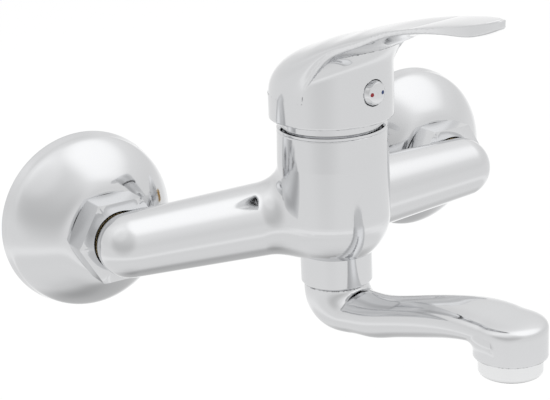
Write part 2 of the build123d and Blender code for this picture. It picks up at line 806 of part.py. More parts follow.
def lever_handle():
    """Hood and lever in one casting, with the stem socket and the screw's tunnel."""
    outside = hood_skirt() + hood_front() + lever_band()
    cavity = hood_cavity()
    boss = rod(boss_radius, boss_bottom, hood_cavity_top)
    boss += screw_tunnel(screw_boss_radius, 0, hood_cavity_radius + screw_boss_overlap)
    boss &= cavity
    handle = outside - (cavity - boss)
    socket = stem_width + 2 * running_gap
    socket_bottom = boss_bottom - 1
    handle -= Pos(0, 0, (socket_bottom + stem_top) / 2) * Box(socket, socket, stem_top - socket_bottom)
    handle -= screw_tunnel(screw_radius, 0, stem_width / 2 + screw_length)
    handle -= screw_tunnel(access_radius, stem_width / 2 + screw_length, hood_radius)
    handle -= screw_tunnel(plug_radius + easy_gap, plug_seat_reach, hood_radius + 1)
    return on_axis(handle, handle_turn)


def handle_screw():
    """Grub screw with a hexagon socket, pressing on the stem."""
    near = stem_width / 2 + running_gap
    screw = screw_tunnel(screw_radius, near, near + screw_length - running_gap)
    key = Plane(origin=(0, -near - screw_length + screw_socket_depth, screw_height), z_dir=(0, -1, 0))
    socket = extrude(key * RegularPolygon(screw_socket_flats / 2, 6, major_radius=False), screw_socket_depth)
    return on_axis(screw - socket, handle_turn)


def plug_bulge():
    """Radius of the sphere on which the plug's slightly domed face lies."""
    return (plug_face_radius**2 + plug_crown**2) / (2 * plug_crown)


def plug_ball():
    """The sphere of the plug's face, about its own centre."""
    return Pos(0, plug_bulge() - plug_face_reach - plug_crown, screw_height) * Sphere(plug_bulge())


def indicator_plug():
    """Round plug with a shank, a bevelled rim and a slightly domed face that carries the two dots."""
    halfway = plug_face_radius / 2
    drop = plug_bulge() - math.sqrt(plug_bulge() ** 2 - halfway**2)
    side = Polyline(
        (0, 0, plug_seat_reach),
        (plug_radius, 0, plug_seat_reach),
        (plug_radius, 0, plug_rim_reach),
        (plug_face_radius, 0, plug_face_reach),
    )
    top = plug_face_reach + plug_crown
    face = ThreePointArc((plug_face_radius, 0, plug_face_reach), (halfway, 0, top - drop), (0, 0, top))
    middle = Line((0, 0, top), (0, 0, plug_seat_reach))
    disc = revolve(make_face(Wire(side.edges() + [face, middle])), axis=Axis.Z)
    shank = screw_tunnel(access_radius - easy_gap, plug_seat_reach - plug_shank_length, plug_seat_reach)
    plug = Pos(0, 0, screw_height) * Rot(90, 0, 0) * disc + shank
    for side in (-1, 1):
        plug -= dot_seat(side)
    return on_axis(plug, handle_turn)


def dot_seat(side):
    """Shallow round recess for one dot, running out in front of the face."""
    reach = plug_face_reach - dot_depth
    return Pos(side * dot_spread, 0, 0) * screw_tunnel(dot_radius, reach, plug_face_reach + 2 * plug_crown)


def dot(side):
    """Coloured inlay in the plug: hot to the left, cold to the right, seen from in front."""
    return on_axis(dot_seat(side) & plug_ball(), handle_turn)


def spout_collar():
    """Smooth round nut on the outlet boss; its lip holds the spout's snap ring."""
    collar = rod(collar_radius, collar_bottom, body_bottom)
    collar = chamfer(collar.edges().group_by(Axis.Z)[0], collar_bevel)
    collar -= rod(outlet_boss_radius + running_gap, collar_floor, body_bottom + 1)
    collar -= rod(tail_radius + slip_gap, collar_bottom - 1, collar_floor + 1)
    return on_axis(collar)


def spout_slide_ring():
    """Thin plastic ring between the snap ring and the collar's lip."""
    return on_axis(
        tube(snap_ring_radius, tail_radius + slip_gap, collar_floor, collar_floor + slide_ring_thickness)
    )


def spout_snap_ring():
    """Split ring in a groove of the spout's tail."""
    ring = tube(snap_ring_radius, tail_radius - snap_ring_groove, snap_ring_bottom, snap_ring_top)
    half = math.radians(snap_ring_gap_angle / 2)
    far = 2 * snap_ring_radius
    wedge = Polyline((0, 0), (far, far * math.tan(half)), (far, -far * math.tan(half)), close=True)
    gap = extrude(make_face(wedge), 4 * snap_ring_thickness, both=True)
    return on_axis(ring - Pos(0, 0, snap_ring_top) * gap, spout_turn)


def o_ring(height):
    """Rubber ring in its groove, as a ring of square section."""
    return tube(o_ring_outer, o_ring_inner, height - o_ring_section / 2, height + o_ring_section / 2)


def spout_o_rings():
    """The rings that seal the spout's tail in the outlet boss."""
    return on_axis(Compound(children=[o_ring(h) for h in o_ring_heights]), spout_turn)


def half_power(value, power):
    """Signed value raised so that a circle's coordinates become a squarer curve's."""
    return math.copysign(abs(value) ** (2 / power), value)


def spout_section(origin, outward, half_width, above, below, power):
    """Closed outline across the spout; outward is the way to its upper side."""
    plane = Plane(origin=origin, x_dir=(1, 0, 0), z_dir=Vector(1, 0, 0).cross(outward))
    points = []
    for i in range(spout_section_points):
        turn = 2 * math.pi * i / spout_section_points
        across = math.cos(turn)
        up = math.sin(turn)
        shape = power if up > 0 else spout_lower_power
        height = above if up > 0 else below
        points.append((half_power(across, shape) * half_width, half_power(up, shape) * height))
    return plane * make_face(Spline(*points, periodic=True))


def bend_section(angle, distance, half_width):
    """Round section in a plane through the inside line of the bend."""
    ray = math.radians(angle)
    out = Vector(0, math.cos(ray), -math.sin(ray))
    pivot = Vector(0, -spout_bend_reach, spout_top)
    half = (distance - spout_bend_inside) / 2
    centre = pivot + out * (spout_bend_inside + half)
    return spout_section(centre, -out, half_width, half, half, 2.0)


def arm_section(share, top, underside, half_width, power):
    """Upright section of the arm, flatter on top towards the head."""
    above = (top - underside) * spout_upper_share
    origin = Vector(0, -share * outlet_reach, spout_top + top - above)
    return spout_section(origin, Vector(0, 0, 1), half_width, above, top - underside - above, power)


def spout_outside():
    """Outer shape of the spout from its round stub through the bend to the outlet."""
    sections = [bend_section(*row) for row in spout_bend]
    sections += [arm_section(*row) for row in spout_arm]
    return loft(sections)


def spout_cup():
    """Round outlet end with a flat top that curves over into its wall."""
    steps = spout_section_points // 4
    curve = []
    for i in range(steps + 1):
        turn = math.pi / 2 * i / steps
        across = half_power(math.cos(turn), cup_power) * cup_radius
        height = cup_top - cup_edge_height * (1 - half_power(math.sin(turn), cup_power))
        curve.append((across, 0, height))
    rest = Polyline(curve[-1], (0, 0, cup_rim), (cup_radius, 0, cup_rim), curve[0])
    profile = make_face(Wire([Spline(*curve, tangents=((0, 0, 1), (-1, 0, 0)))] + rest.edges()))
    return Pos(0, -outlet_reach, 0) * revolve(profile, axis=Axis.Z)


def spout_passage():
    """Waterway down the tail, round the bend and along the middle of the arm."""
    reaches = [share * outlet_reach for share, *_ in spout_arm]
    reaches[-len(passage_corners) :] = [outlet_reach - back for back in passage_corners]
    heights = [spout_top + (top + underside) / 2 for _, top, underside, *_ in spout_arm]
    middles = [(0, -reach, height) for reach, height in zip(reaches, heights)]
    bend = (0, 0, middles[0][2])
    down = Pos(0, 0, bend[2]) * rod(spout_bore_radius, 0, tail_top + 1 - bend[2])
    knee = Pos(*bend) * Sphere(spout_bore_radius)
    path = Polyline(bend, *middles)
    start = Vector(*middles[0]) - Vector(*bend)
    ring = Plane(origin=bend, z_dir=start) * Circle(spout_bore_radius)
    along = sweep(ring, path=path, transition=Transition.ROUND)
    return down + knee + along


def spout():
    """Swivel spout: tail with grooves, stub, arm, head and outlet cup."""
    tail = rod(tail_radius, spout_top - 1, tail_top)
    body = spout_outside() + spout_cup() + tail
    body -= spout_passage()
    body -= tube(tail_radius + 1, tail_radius - snap_ring_groove, snap_ring_bottom, snap_ring_top)
    for height in o_ring_heights:
        groove = o_ring_section / 2 + running_gap
        body -= tube(tail_radius + 1, o_ring_inner, height - groove, height + groove)
    outlet = Pos(0, -outlet_reach, 0)
    body -= outlet * rod(aerator_thread_radius + running_gap, cup_rim - 1, cup_bore_top)
    return on_axis(body, spout_turn)


def aerator_housing():
    """Chromed ring with the thread that screws into the cup and a lip that holds the insert."""
    ring = rod(aerator_radius, aerator_bottom, cup_rim)
    ring = fillet(ring.edges().group_by(Axis.Z)[0], aerator_edge)
    ring += rod(aerator_thread_radius, cup_rim, aerator_thread_top)
    ring -= rod(aerator_bore, aerator_bottom + aerator_lip, aerator_thread_top + 1)
    ring -= rod(aerator_bore - aerator_lip, aerator_bottom - 1, aerator_thread_top + 1)
    return on_axis(Pos(0, -outlet_reach, 0) * ring, spout_turn)


def aerator_insert():
    """Plastic straightener: a cup with a floor of square cells."""
    low = aerator_bottom + aerator_lip
    outer = aerator_bore - running_gap
    insert = tube(outer, outer - aerator_insert_wall, low, aerator_insert_top)
    floor = rod(outer - aerator_insert_wall / 2, low, low + aerator_floor)
    pitch = aerator_cell + aerator_bar
    reach = outer - aerator_insert_wall - aerator_lip
    count = int(reach // pitch)
    hole = Pos(0, 0, low + aerator_floor / 2) * Box(aerator_cell, aerator_cell, aerator_floor + 2)
    cells = [
        Pos(i * pitch, j * pitch, 0) * hole
        for i in range(-count, count + 1)
        for j in range(-count, count + 1)
        if math.hypot(abs(i) * pitch + aerator_cell / 2, abs(j) * pitch + aerator_cell / 2) < reach
    ]
    floor -= Compound(children=cells)
    return on_axis(Pos(0, -outlet_reach, 0) * (insert + floor), spout_turn)


def aerator_gasket():
    """Rubber ring between the housing's top and the cup."""
    ring = tube(aerator_thread_radius, gasket_bore, aerator_thread_top, aerator_thread_top + gasket_height)
    return on_axis(Pos(0, -outlet_reach, 0) * ring, spout_turn)


def build():
    """Makes every node and writes it."""
    os.makedirs("parts", exist_ok=True)
    for side, name in ((-1, "left"), (1, "right")):
        place = Pos(side * inlet_x, 0, 0)
        save(place * rosette(), f"rosette_{name}")
        save(place * eccentric_union(), f"eccentric_union_{name}")
        save(place * union_nut(), f"union_nut_{name}")
        save(place * union_seat(), f"union_seat_{name}")
        save(place * union_washer(), f"union_washer_{name}")
    save(mixer_body(), "mixer_body")
    save(cartridge_base(), "cartridge_base")
    save(cartridge_seals(), "cartridge_seals")
    save(fixed_disc(), "fixed_disc")
    save(moving_disc(), "moving_disc")
    save(disc_carrier(), "disc_carrier")
    save(cartridge_housing(), "cartridge_housing")
    save(cartridge_turret(), "cartridge_turret")
    save(pivot_pin(), "pivot_pin")
    save(lever_stem(), "lever_stem")
    save(cartridge_nut(), "cartridge_nut")
    save(trim_ring(), "trim_ring")
    save(lever_handle(), "lever_handle")
    save(handle_screw(), "handle_screw")
    save(indicator_plug(), "indicator_plug")
    save(dot(-1), "hot_dot")
    save(dot(1), "cold_dot")
    save(spout_collar(), "spout_collar")
    save(spout_slide_ring(), "spout_slide_ring")
    save(spout_snap_ring(), "spout_snap_ring")
    save(spout_o_rings(), "spout_o_rings")
    save(spout(), "spout")
    save(aerator_housing(), "aerator_housing")
    save(aerator_insert(), "aerator_insert")
    save(aerator_gasket(), "aerator_gasket")


build()
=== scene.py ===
import json
import math

import bpy
import numpy as np
from mathutils import Matrix, Vector


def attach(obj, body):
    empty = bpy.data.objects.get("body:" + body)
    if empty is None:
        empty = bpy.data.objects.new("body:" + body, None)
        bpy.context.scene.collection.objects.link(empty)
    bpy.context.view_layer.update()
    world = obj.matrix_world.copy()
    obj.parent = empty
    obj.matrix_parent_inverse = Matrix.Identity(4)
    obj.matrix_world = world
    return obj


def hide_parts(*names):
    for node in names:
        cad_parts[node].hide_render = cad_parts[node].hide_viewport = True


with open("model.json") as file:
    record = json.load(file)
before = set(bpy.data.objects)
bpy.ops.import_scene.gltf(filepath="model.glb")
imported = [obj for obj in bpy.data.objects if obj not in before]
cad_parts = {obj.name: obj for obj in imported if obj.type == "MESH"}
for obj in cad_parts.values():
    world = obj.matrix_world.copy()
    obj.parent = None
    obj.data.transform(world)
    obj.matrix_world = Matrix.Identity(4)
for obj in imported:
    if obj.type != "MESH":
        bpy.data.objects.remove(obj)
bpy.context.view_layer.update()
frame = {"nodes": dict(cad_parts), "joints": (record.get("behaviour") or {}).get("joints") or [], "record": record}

# Places that the frame gives, in metres and degrees
joint = {j["name"]: j for j in frame["joints"]}
tap_axis = Vector(joint["temperature_turn"]["pos_m"][:2] + [0.0])
inlet_x = joint["nut_right_spin"]["pos_m"][0]
pivot_axis = joint["flow_lift"]["axis"]
handle_turn = math.degrees(math.atan2(-pivot_axis[1], -pivot_axis[0]))
spout_turn = 10.0

# Sizes of the pieces, in millimetres
MM = 0.001

# Wall covers, upwards from the wall: (radius, height)
rosette_radius = 34.1
rosette_wall = 1.2
rosette_skirt = 4.0
rosette_skirt_taper = 0.9
rosette_shoulder = (31.4, 8.6)
rosette_waist = (23.0, 17.2)
rosette_reach = 21.0
rosette_neck = 13.52
rosette_neck_land = 2.0
rosette_edge = 0.25
# The rim's roll and the skirt's rows, and how much of the wall the inside stands in and down
rosette_roll = [(0.3, 0.0), (0.08, 0.12)]
rosette_skirt_rows = (0.1, 0.3, 0.55, 0.8)
rosette_inside = (0.8, 0.6)
rosette_neck_way = (-1, 0.12)
rosette_steps = 40
rosette_around = 192

# Thread of the wall unions, along the tail from the wall
wall_thread_radius = 10.4775
wall_thread_depth = 1.16
wall_thread_pitch = 1.814
wall_thread_start = -15.4
wall_thread_end = 1.8
wall_thread_drop = 10.0
wall_thread_sink = 0.02
tail_match = 0.05
tail_overrun = 0.5
thread_face_turn = math.radians(90)
thread_steps = 48
thread_root_share = 0.94
thread_crest_share = 0.14
thread_runout = 0.06
thread_end_scale = 0.05

# Union nuts; a bevel is how far in from the corner it starts, and its slope
nut_flats = 30.0
nut_height = 11.5
nut_back = 21.4
nut_lip = 2.2
nut_thread_bore = 13.32
nut_neck_bore = 10.7
nut_corner_round = 0.5
nut_back_bevel = (2.25, 0.85)
nut_front_bevel = (0.72, 0.62)
nut_bevel_inset = 0.35
nut_bevel_rows = (0.0, 0.05, 0.35, 0.65, 0.95, 1.0)
nut_face_rows = (0.06, 0.3, 0.7, 0.94)
nut_corner_margin = 1.6
nut_mouth = 0.35
nut_countersink = [(1.0, 0.0), (0.8, 0.05), (0.0, 0.9)]

# Body casting
barrel_root = np.array([0.0, -45.5, 0.0])
barrel_root_radius = 14.8
barrel_end_reach = 38.5
barrel_end_radius = 12.0
neck_radius = 10.0
neck_start = 30.4
relief_radius = 17.82
relief_reach = 33.2
relief_edge_round = 0.4
barrel_fillet = 9.0
body_back = -26.0
body_top = 36.0
body_edge_round = 0.4
body_outline = [(20.5, 3.0), (20.5, 24.0), (20.1, 35.6), (0.0, 35.6), (0.0, -11.6)]
body_bowl = ((13.95, -11.6), (18.8, -4.9), (20.5, 3.0))
bowl_steps = 14
well_radius = 17.5
well_floor = 11.0
nut_thread_radius = 18.25
nut_thread_floor = 29.7
outlet_boss_radius = 12.0
outlet_boss_top = -11
outlet_boss_bottom = -19.5
outlet_bore = 9.3
outlet_bore_top = -2.5

# Turned rings: (radius, height, rounding) round the section
trim_ring = [
    (16.7, 36.0, 0),
    (20.5, 36.0, 0.12),
    (20.5, 37.0, 0.35),
    (18.7, 37.4, 0.15),
    (18.7, 40.0, 0.4),
    (18.1, 41.2, 0.3),
    (15.4, 41.2, 0.2),
    (15.4, 39.6, 0),
    (16.7, 39.6, 0),
]
collar = [
    (9.5, -22.4, 0),
    (9.5, -24.2, 0.2),
    (12.75, -24.2, 0.3),
    (13.55, -23.4, 0.3),
    (13.55, -12.0, 0.2),
    (12.05, -12.0, 0.2),
    (12.05, -22.4, 0),
]

# Handle, about its own axis with the lever along -Y. Stations as in the solid: degrees round the
# bend from the back, then two for each millimetre of reach.
hood_radius = 23.2
hood_bottom = 40.8
hood_edge_round = 0.5
bend_reach = 30.0
bend_height = 50.0
bend_end = 90.0
lever_tip = 197.0
lever_length = (lever_tip - bend_end) / 2
lever_top_rise = 37.4
lever_edge = [(0, 22.3), (30, 21.3), (65, 22.2), (90, 24.4), (115, 29.6), (150, 33.3), (197, 37)]
lever_rise = [
    (0, 30.65),
    (15, 24.8),
    (30, 15.4),
    (45, 9.6),
    (65, 5.0),
    (90, 3.9),
    (125, 0.6),
    (197, 0.4),
]
lever_half_width = [(0, 21.62), (60, 19.6), (110, 16.5), (150, 12.1), (175, 9.0), (197, 1.6)]
lever_centre = [(0, 0.25122), (45, 0.22), (90, 0.0), (197, 0.0)]
lever_depth = [
    (0, 0.6),
    (30, 1.2),
    (60, 1.4),
    (100, 1.7),
    (152, 1.8),
    (168, 2.7),
    (182, 3.8),
    (197, 2.4),
]
lever_side_inset = 0.3
lever_swell = 0.12
lever_rim_round = 0.35
lever_tip_round = 0.8
flare_radius = 9.0
flare_sweep = 63.0
flare_height = 62.3
flare_slope = 0.457
flare_overrun = 1.8
flare_start = 7.7
flare_end = 36.0
flare_side_inset = 0.3
front_sink = 0.5
skirt_overlap = 0.2
cavity_outline = [(0.0, 39.0), (20.9, 39.0), (20.9, 50.0), (11.0, 60.0), (0.0, 60.0)]
stem_boss = (7.5, 47.5)
screw_height = 52.6
screw_boss_radius = 5.2
access_radius = 3.2
access_end = 4.0
plug_hole = (4.9, 18.4)
plug_hole_edge = 0.15
stem_socket = (7.1, 46.5, 60.0)

# Spout, about its own axis and pointing along -Y. Stations in millimetres along its middle.
spout_top = -24.5
spout_bend_reach = 13.3
spout_bend_length = 25.133
spout_stations = [0, 5.585, 11.17, 22.34, 33.83, 45.83, 57.83, 69.83, 79.83, 89.33, 99.83]
spout_inside = [1.0, 1.0, 1.0, 1.0, 0.4, -2.2, -5.5, -8.2, -9.6, -9.8, -9.1]
spout_outside = [25.6, 26.0, 24.5, 18.4, 16.7, 13.3, 9.7, 6.1, 3.3, 1.5, 1.1]
spout_half_width = [12.3, 12.2, 11.8, 10.5, 9.9, 9.6, 10.1, 11.3, 12.5, 12.9, 12.3]
spout_power = [2.0, 2.0, 2.0, 2.0, 2.0, 2.2, 2.4, 2.8, 3.2, 3.5, 3.6]
spout_share = [0.5, 0.5, 0.5, 0.5, 0.45, 0.45, 0.45, 0.45, 0.45, 0.45, 0.45]
spout_lower_power = 2.1
spout_stub = 12.3
outlet_reach = 86.7
cup_radius = 13.0
cup_top = -15.0
cup_edge = 4.6
cup_power = 3.5
cup_rim = -28.7
cup_rim_round = 0.4
cup_bore = (11.05, -18.5)
cup_blend = (0.35, 2.2)
cup_blend_drop = 3.5
cup_blend_height = 4.0
spout_bottom = -43.0
tail_radius = 9.2
tail_top = -8.0
tail_bore = 4.2
tail_bore_floor = -33.0
tail_groove_outer = 12.0
tail_grooves = [(8.3, -21.2, -19.8), (7.45, -12.45, -10.55), (7.45, -16.95, -15.05)]
outlet_ring = [
    (8.3, -35.2, 0.2),
    (11.3, -35.2, 1.4),
    (11.3, -28.8, 0.3),
    (10.9, -28.8, 0),
    (10.9, -24.0, 0.2),
    (9.3, -24.0, 0.2),
    (9.3, -34.2, 0),
    (8.3, -34.2, 0.1),
]
straightener = [
    (9.25, -34.2, 0.2),
    (9.25, -25.0, 0.3),
    (8.05, -25.0, 0.3),
    (8.05, -34.2, 0.2),
]
straightener_grid_radius = 8.6
straightener_pitch = 2.0
straightener_bar = 0.5
straightener_grid = (-34.2, -33.0)


def axis_place(turn):
    """Place of a piece made about its own upright axis: turned, then moved to the tap's axis."""
    return Matrix.Translation(tap_axis) @ Matrix.Rotation(math.radians(turn), 4, "Z")


def wall_place(side):
    """Place of a piece that is made upright and stands out from the wall on one side."""
    return Matrix.Translation((side * inlet_x, 0, 0)) @ Matrix.Rotation(math.radians(90), 4, "X")


# Meshes


def add_mesh(name, points, faces, place, normals=None, sharp=40.0):
    """Object at the origin whose mesh holds the points, given in millimetres, at their place."""
    points = np.asarray(points, float)
    corners = points[np.asarray([f[:3] for f in faces])]
    volume = np.einsum("ij,ij->i", corners[:, 0], np.cross(corners[:, 1], corners[:, 2])).sum()
    if volume < 0:
        faces = [tuple(reversed(f)) for f in faces]
    mesh = bpy.data.meshes.new(name)
    mesh.from_pydata((points * MM).tolist(), [], [tuple(int(i) for i in f) for f in faces])
    mesh.transform(place)
    mesh.shade_smooth()
    if normals is None:
        mesh.set_sharp_from_angle(angle=math.radians(sharp))
    else:
        turned = np.asarray(normals) @ np.array(place.to_3x3()).T
        mesh.normals_split_custom_set_from_vertices(turned.tolist())
    piece = bpy.data.objects.new(name, mesh)
    bpy.context.scene.collection.objects.link(piece)
    return piece


def softened(corners, steps=4, support=0.12):
    """Closed outline whose corners (across, up, radius) are rounded, with a point by each arc."""
    points = []
    for i, (x, y, radius) in enumerate(corners):
        here = np.array([x, y], float)
        if radius == 0:
            points.append(here)
            continue
        back = np.array(corners[i - 1][:2], float) - here
        ahead = np.array(corners[(i + 1) % len(corners)][:2], float) - here
        back /= np.linalg.norm(back)
        ahead /= np.linalg.norm(ahead)
        half = math.acos(float(np.clip(back @ ahead, -1, 1))) / 2
        cut = radius / math.tan(half)
        middle = (back + ahead) / np.linalg.norm(back + ahead)
        centre = here + middle * radius / math.sin(half)
        first = here + back * cut - centre
        last = here + ahead * cut - centre
        turn = math.atan2(first[0] * last[1] - first[1] * last[0], first @ last)
        points.append(here + back * (cut + support))
        for k in range(steps + 1):
            angle = turn * k / steps
            c, s = math.cos(angle), math.sin(angle)
            spoke = np.array([c * first[0] - s * first[1], s * first[0] + c * first[1]])
            points.append(centre + spoke)
        points.append(here + ahead * (cut + support))
    return np.array(points)


def turned_piece(name, outline, place, around=160):
    """Ring-shaped piece: a closed outline of (radius, height) points turned about its axis."""
    outline = np.asarray(outline, float)
    rows = len(outline)
    angles = np.linspace(0, 2 * math.pi, around, endpoint=False)
    points = np.empty((rows, around, 3))
    points[:, :, 0] = outline[:, :1] * np.cos(angles)
    points[:, :, 1] = outline[:, :1] * np.sin(angles)
    points[:, :, 2] = outline[:, 1:]
    return add_mesh(name, points.reshape(-1, 3), ring_faces(rows, around), place)


def ring_faces(rows, around):
    """Quads of a tube-shaped grid whose last row joins its first."""
    faces = []
    for i in range(rows):
        for j in range(around):
            k = (j + 1) % around
            n = (i + 1) % rows
            faces.append((i * around + j, i * around + k, n * around + k, n * around + j))
    return faces


def smooth_curve(points, start, end, steps):
    """Points on the smooth curve through a few points, with a given direction at both ends."""
    points = np.asarray(points, float)
    lengths = np.linalg.norm(np.diff(points, axis=0), axis=1)
    knots = np.concatenate([[0], np.cumsum(lengths)])
    count = len(points)
    matrix = np.zeros((count, count))
    right = np.zeros((count, 2))
    matrix[0, 0] = matrix[-1, -1] = 1
    right[0] = np.array(start) / np.linalg.norm(start)
    right[-1] = np.array(end) / np.linalg.norm(end)
    for i in range(1, count - 1):
        before, after = lengths[i - 1], lengths[i]
        matrix[i, i - 1 : i + 2] = (after, 2 * (before + after), before)
        rise_in = after / before * (points[i] - points[i - 1])
        rise_out = before / after * (points[i + 1] - points[i])
        right[i] = 3 * (rise_in + rise_out)
    slopes = np.linalg.solve(matrix, right)
    found = []
    for at in np.linspace(0, knots[-1], steps):
        i = min(int(np.searchsorted(knots, at, side="right")) - 1, count - 2)
        h = lengths[i]
        t = (at - knots[i]) / h
        found.append(
            (2 * t**3 - 3 * t**2 + 1) * points[i]
            + (t**3 - 2 * t**2 + t) * h * slopes[i]
            + (-2 * t**3 + 3 * t**2) * points[i + 1]
            + (t**3 - t**2) * h * slopes[i + 1]
        )
    return np.array(found)


# Fields. A field gives, for many points at once, about how far each lies outside a solid, in
# millimetres; it is negative inside.


def field_slope(field, points, step=0.02):
    """Direction in which a field grows, at each point."""
    slope = np.empty_like(points)
    for axis in range(3):
        shift = np.zeros(3)
        shift[axis] = step
        slope[:, axis] = (field(points + shift) - field(points - shift)) / (2 * step)
    return slope


def field_piece(name, field, low, high, cell, place, passes=4):
    """Closed mesh on the surface where a field is nought, with its normals taken from the field."""
    spans = [np.arange(a - 2 * cell, b + 3 * cell, cell) for a, b in zip(low, high)]
    grid = np.stack(np.meshgrid(*spans, indexing="ij"), -1)
    size = grid.shape[:3]
    value = field(grid.reshape(-1, 3)).reshape(size)
    inside = value < 0
    corners = [(i, j, k) for i in (0, 1) for j in (0, 1) for k in (0, 1)]

    def part(array, corner):
        return array[tuple(slice(c, c + n - 1) for c, n in zip(corner, size))]

    count = sum(part(inside, c).astype(int) for c in corners)
    mixed = (count > 0) & (count < 8)
    index = np.full(mixed.shape, -1)
    index[mixed] = np.arange(mixed.sum())
    total = np.zeros((mixed.sum(), 3))
    hits = np.zeros(mixed.sum())
    for a in corners:
        for b in corners:
            if sum(abs(p - q) for p, q in zip(a, b)) != 1 or a > b:
                continue
            va, vb = part(value, a)[mixed], part(value, b)[mixed]
            crossed = (va < 0) != (vb < 0)
            share = np.where(crossed, va / np.where(crossed, va - vb, 1), 0)
            pa, pb = part(grid, a)[mixed], part(grid, b)[mixed]
            total[crossed] += (pa + (pb - pa) * share[:, None])[crossed]
            hits += crossed
    points = total / hits[:, None]
    faces = []
    for axis in range(3):
        one, two = [a for a in range(3) if a != axis]
        here = inside[tuple(slice(1, n - 1) for n in size)]
        ahead_slices = [slice(1, n - 1) for n in size]
        ahead_slices[axis] = slice(2, size[axis])
        ahead = inside[tuple(ahead_slices)]
        at = np.argwhere(here != ahead) + 1
        leaving = here[here != ahead]
        if axis == 1:
            leaving = ~leaving
        around = []
        for d1, d2 in ((0, 0), (-1, 0), (-1, -1), (0, -1)):
            cell_at = at.copy()
            cell_at[:, one] += d1
            cell_at[:, two] += d2
            around.append(index[cell_at[:, 0], cell_at[:, 1], cell_at[:, 2]])
        quads = np.stack(around, 1)
        quads[~leaving] = quads[~leaving][:, ::-1]
        faces.append(quads)
    faces = np.concatenate(faces)
    start = points.copy()
    for _ in range(passes):
        slope = field_slope(field, points)
        move = field(points)[:, None] * slope / np.maximum((slope**2).sum(1), 0.05)[:, None]
        points -= np.clip(move, -cell / 2, cell / 2)
    points = start + np.clip(points - start, -1.5 * cell, 1.5 * cell)
    slope = field_slope(field, points)
    normals = slope / np.maximum(np.linalg.norm(slope, axis=1), 1e-6)[:, None]
    return add_mesh(name, points, faces.tolist(), place, normals)


def joined(a, b, radius):
    """Field of two solids as one, with a hollow fillet where they meet."""
    plain = np.minimum(a, b)
    fillet = radius - np.hypot(np.maximum(radius - a, 0), np.maximum(radius - b, 0))
    return np.where((a < radius) & (b < radius), np.minimum(fillet, plain), plain)


def common(a, b, radius):
    """Field of what two solids share, with a rounded edge."""
    return -joined(-a, -b, radius)


def cut(a, b, radius):
    """Field of one solid less another, with a rounded edge."""
    return -joined(-a, b, radius)


def rod_field(p, radius, low, high):
    """Field of an upright cylinder on the Z axis."""
    side = np.hypot(p[:, 0], p[:, 1]) - radius
    return np.maximum(side, np.maximum(low - p[:, 2], p[:, 2] - high))


def outline_field(radius, height, outline):
    """Field of the solid that a closed outline of (radius, height) points sweeps round the axis."""
    best = np.full(radius.shape, 1e9)
    inside = np.zeros(radius.shape, bool)
    for (x0, y0), (x1, y1) in zip(outline, outline[1:] + outline[:1]):
        dx, dy = x1 - x0, y1 - y0
        along = np.clip(((radius - x0) * dx + (height - y0) * dy) / (dx * dx + dy * dy), 0, 1)
        gap = np.hypot(radius - x0 - along * dx, height - y0 - along * dy)
        if x0 > 0 or x1 > 0:
            best = np.minimum(best, gap)
        if y0 != y1:
            crosses = (y0 > height) != (y1 > height)
            inside ^= crosses & (radius < x0 + (height - y0) / dy * dx)
    return np.where(inside, -best, best)


def round_cone_field(p, a, b, radius_a, radius_b):
    """Field of the tapered arm between two balls."""
    line = b - a
    length = np.linalg.norm(line)
    along = (p - a) @ line / length
    across = np.sqrt(np.maximum(((p - a) ** 2).sum(1) - along**2, 0))
    sine = (radius_a - radius_b) / length
    cosine = math.sqrt(1 - sine**2)
    wall = across * cosine + along * sine - radius_a
    ball_a = np.hypot(along, across) - radius_a
    ball_b = np.hypot(along - length, across) - radius_b
    lean = along * cosine - across * sine
    return np.where(lean < 0, ball_a, np.where(lean > length * cosine, ball_b, wall))


# Pieces


def rosette(side, name):
    """Pressed wall cover: skirt, shoulder, waist and neck, with a rolled rim."""
    rim, wall, neck = rosette_radius, rosette_wall, rosette_neck
    top = rim - rosette_skirt_taper
    bends = [
        (top, rosette_skirt),
        rosette_shoulder,
        rosette_waist,
        (neck + rosette_neck_land, rosette_reach),
    ]
    dome = smooth_curve(bends, (0, 1), rosette_neck_way, rosette_steps)
    outline = [(rim - inwards, height) for inwards, height in rosette_roll]
    outline += [(rim + (top - rim) * t, rosette_skirt * t) for t in rosette_skirt_rows]
    outline += [tuple(point) for point in dome]
    outline += [(neck + rosette_edge, rosette_reach), (neck, rosette_reach - rosette_edge)]
    outline += [(neck, rosette_reach - wall)]
    inwards, down = rosette_inside
    outline += [(radius - wall * inwards, height - wall * down) for radius, height in dome[::-1]]
    outline += [(top - wall, rosette_skirt * 0.5), (rim - wall, 0.0)]
    return turned_piece(f"cover_{name}", outline, wall_place(side), rosette_around)


def nut_outline(around=16):
    """Hexagon with rounded corners as (angle, radius) pairs, crowded near the corners."""
    flat = nut_flats / 2
    centre = (flat - nut_corner_round) / math.cos(math.pi / 6)
    edge = math.atan2(nut_corner_round * 0.5, centre + nut_corner_round * math.cos(math.pi / 6))
    spots = [-edge * k / 4 for k in (4, 3, 2, 1)] + [edge * k / 4 for k in range(5)]
    margin = edge * nut_corner_margin
    spots += list(np.linspace(margin, math.pi / 3 - margin, around))
    found = []
    for corner in range(6):
        for spot in spots:
            away = abs(spot)
            if away <= edge:
                radius = centre * math.cos(away)
                radius += math.sqrt(max(nut_corner_round**2 - (centre * math.sin(away)) ** 2, 0))
            else:
                radius = flat / math.cos(math.pi / 6 - min(away, math.pi / 3 - away))
            found.append((corner * math.pi / 3 + spot, radius))
    return found


def nut_bevel(spots, inset, slope):
    """Rows of (radius, drop) on a bevelled face, from its flat middle to the corners."""
    start = nut_flats / 2 / math.cos(math.pi / 6) - inset
    rows = []
    for share in nut_bevel_rows:
        row = []
        for _, radius in spots:
            begin = min(start, radius - nut_bevel_inset)
            at = begin + (radius - begin) * share
            row.append((at, max(at - start, 0) * slope))
        rows.append(row)
    return rows


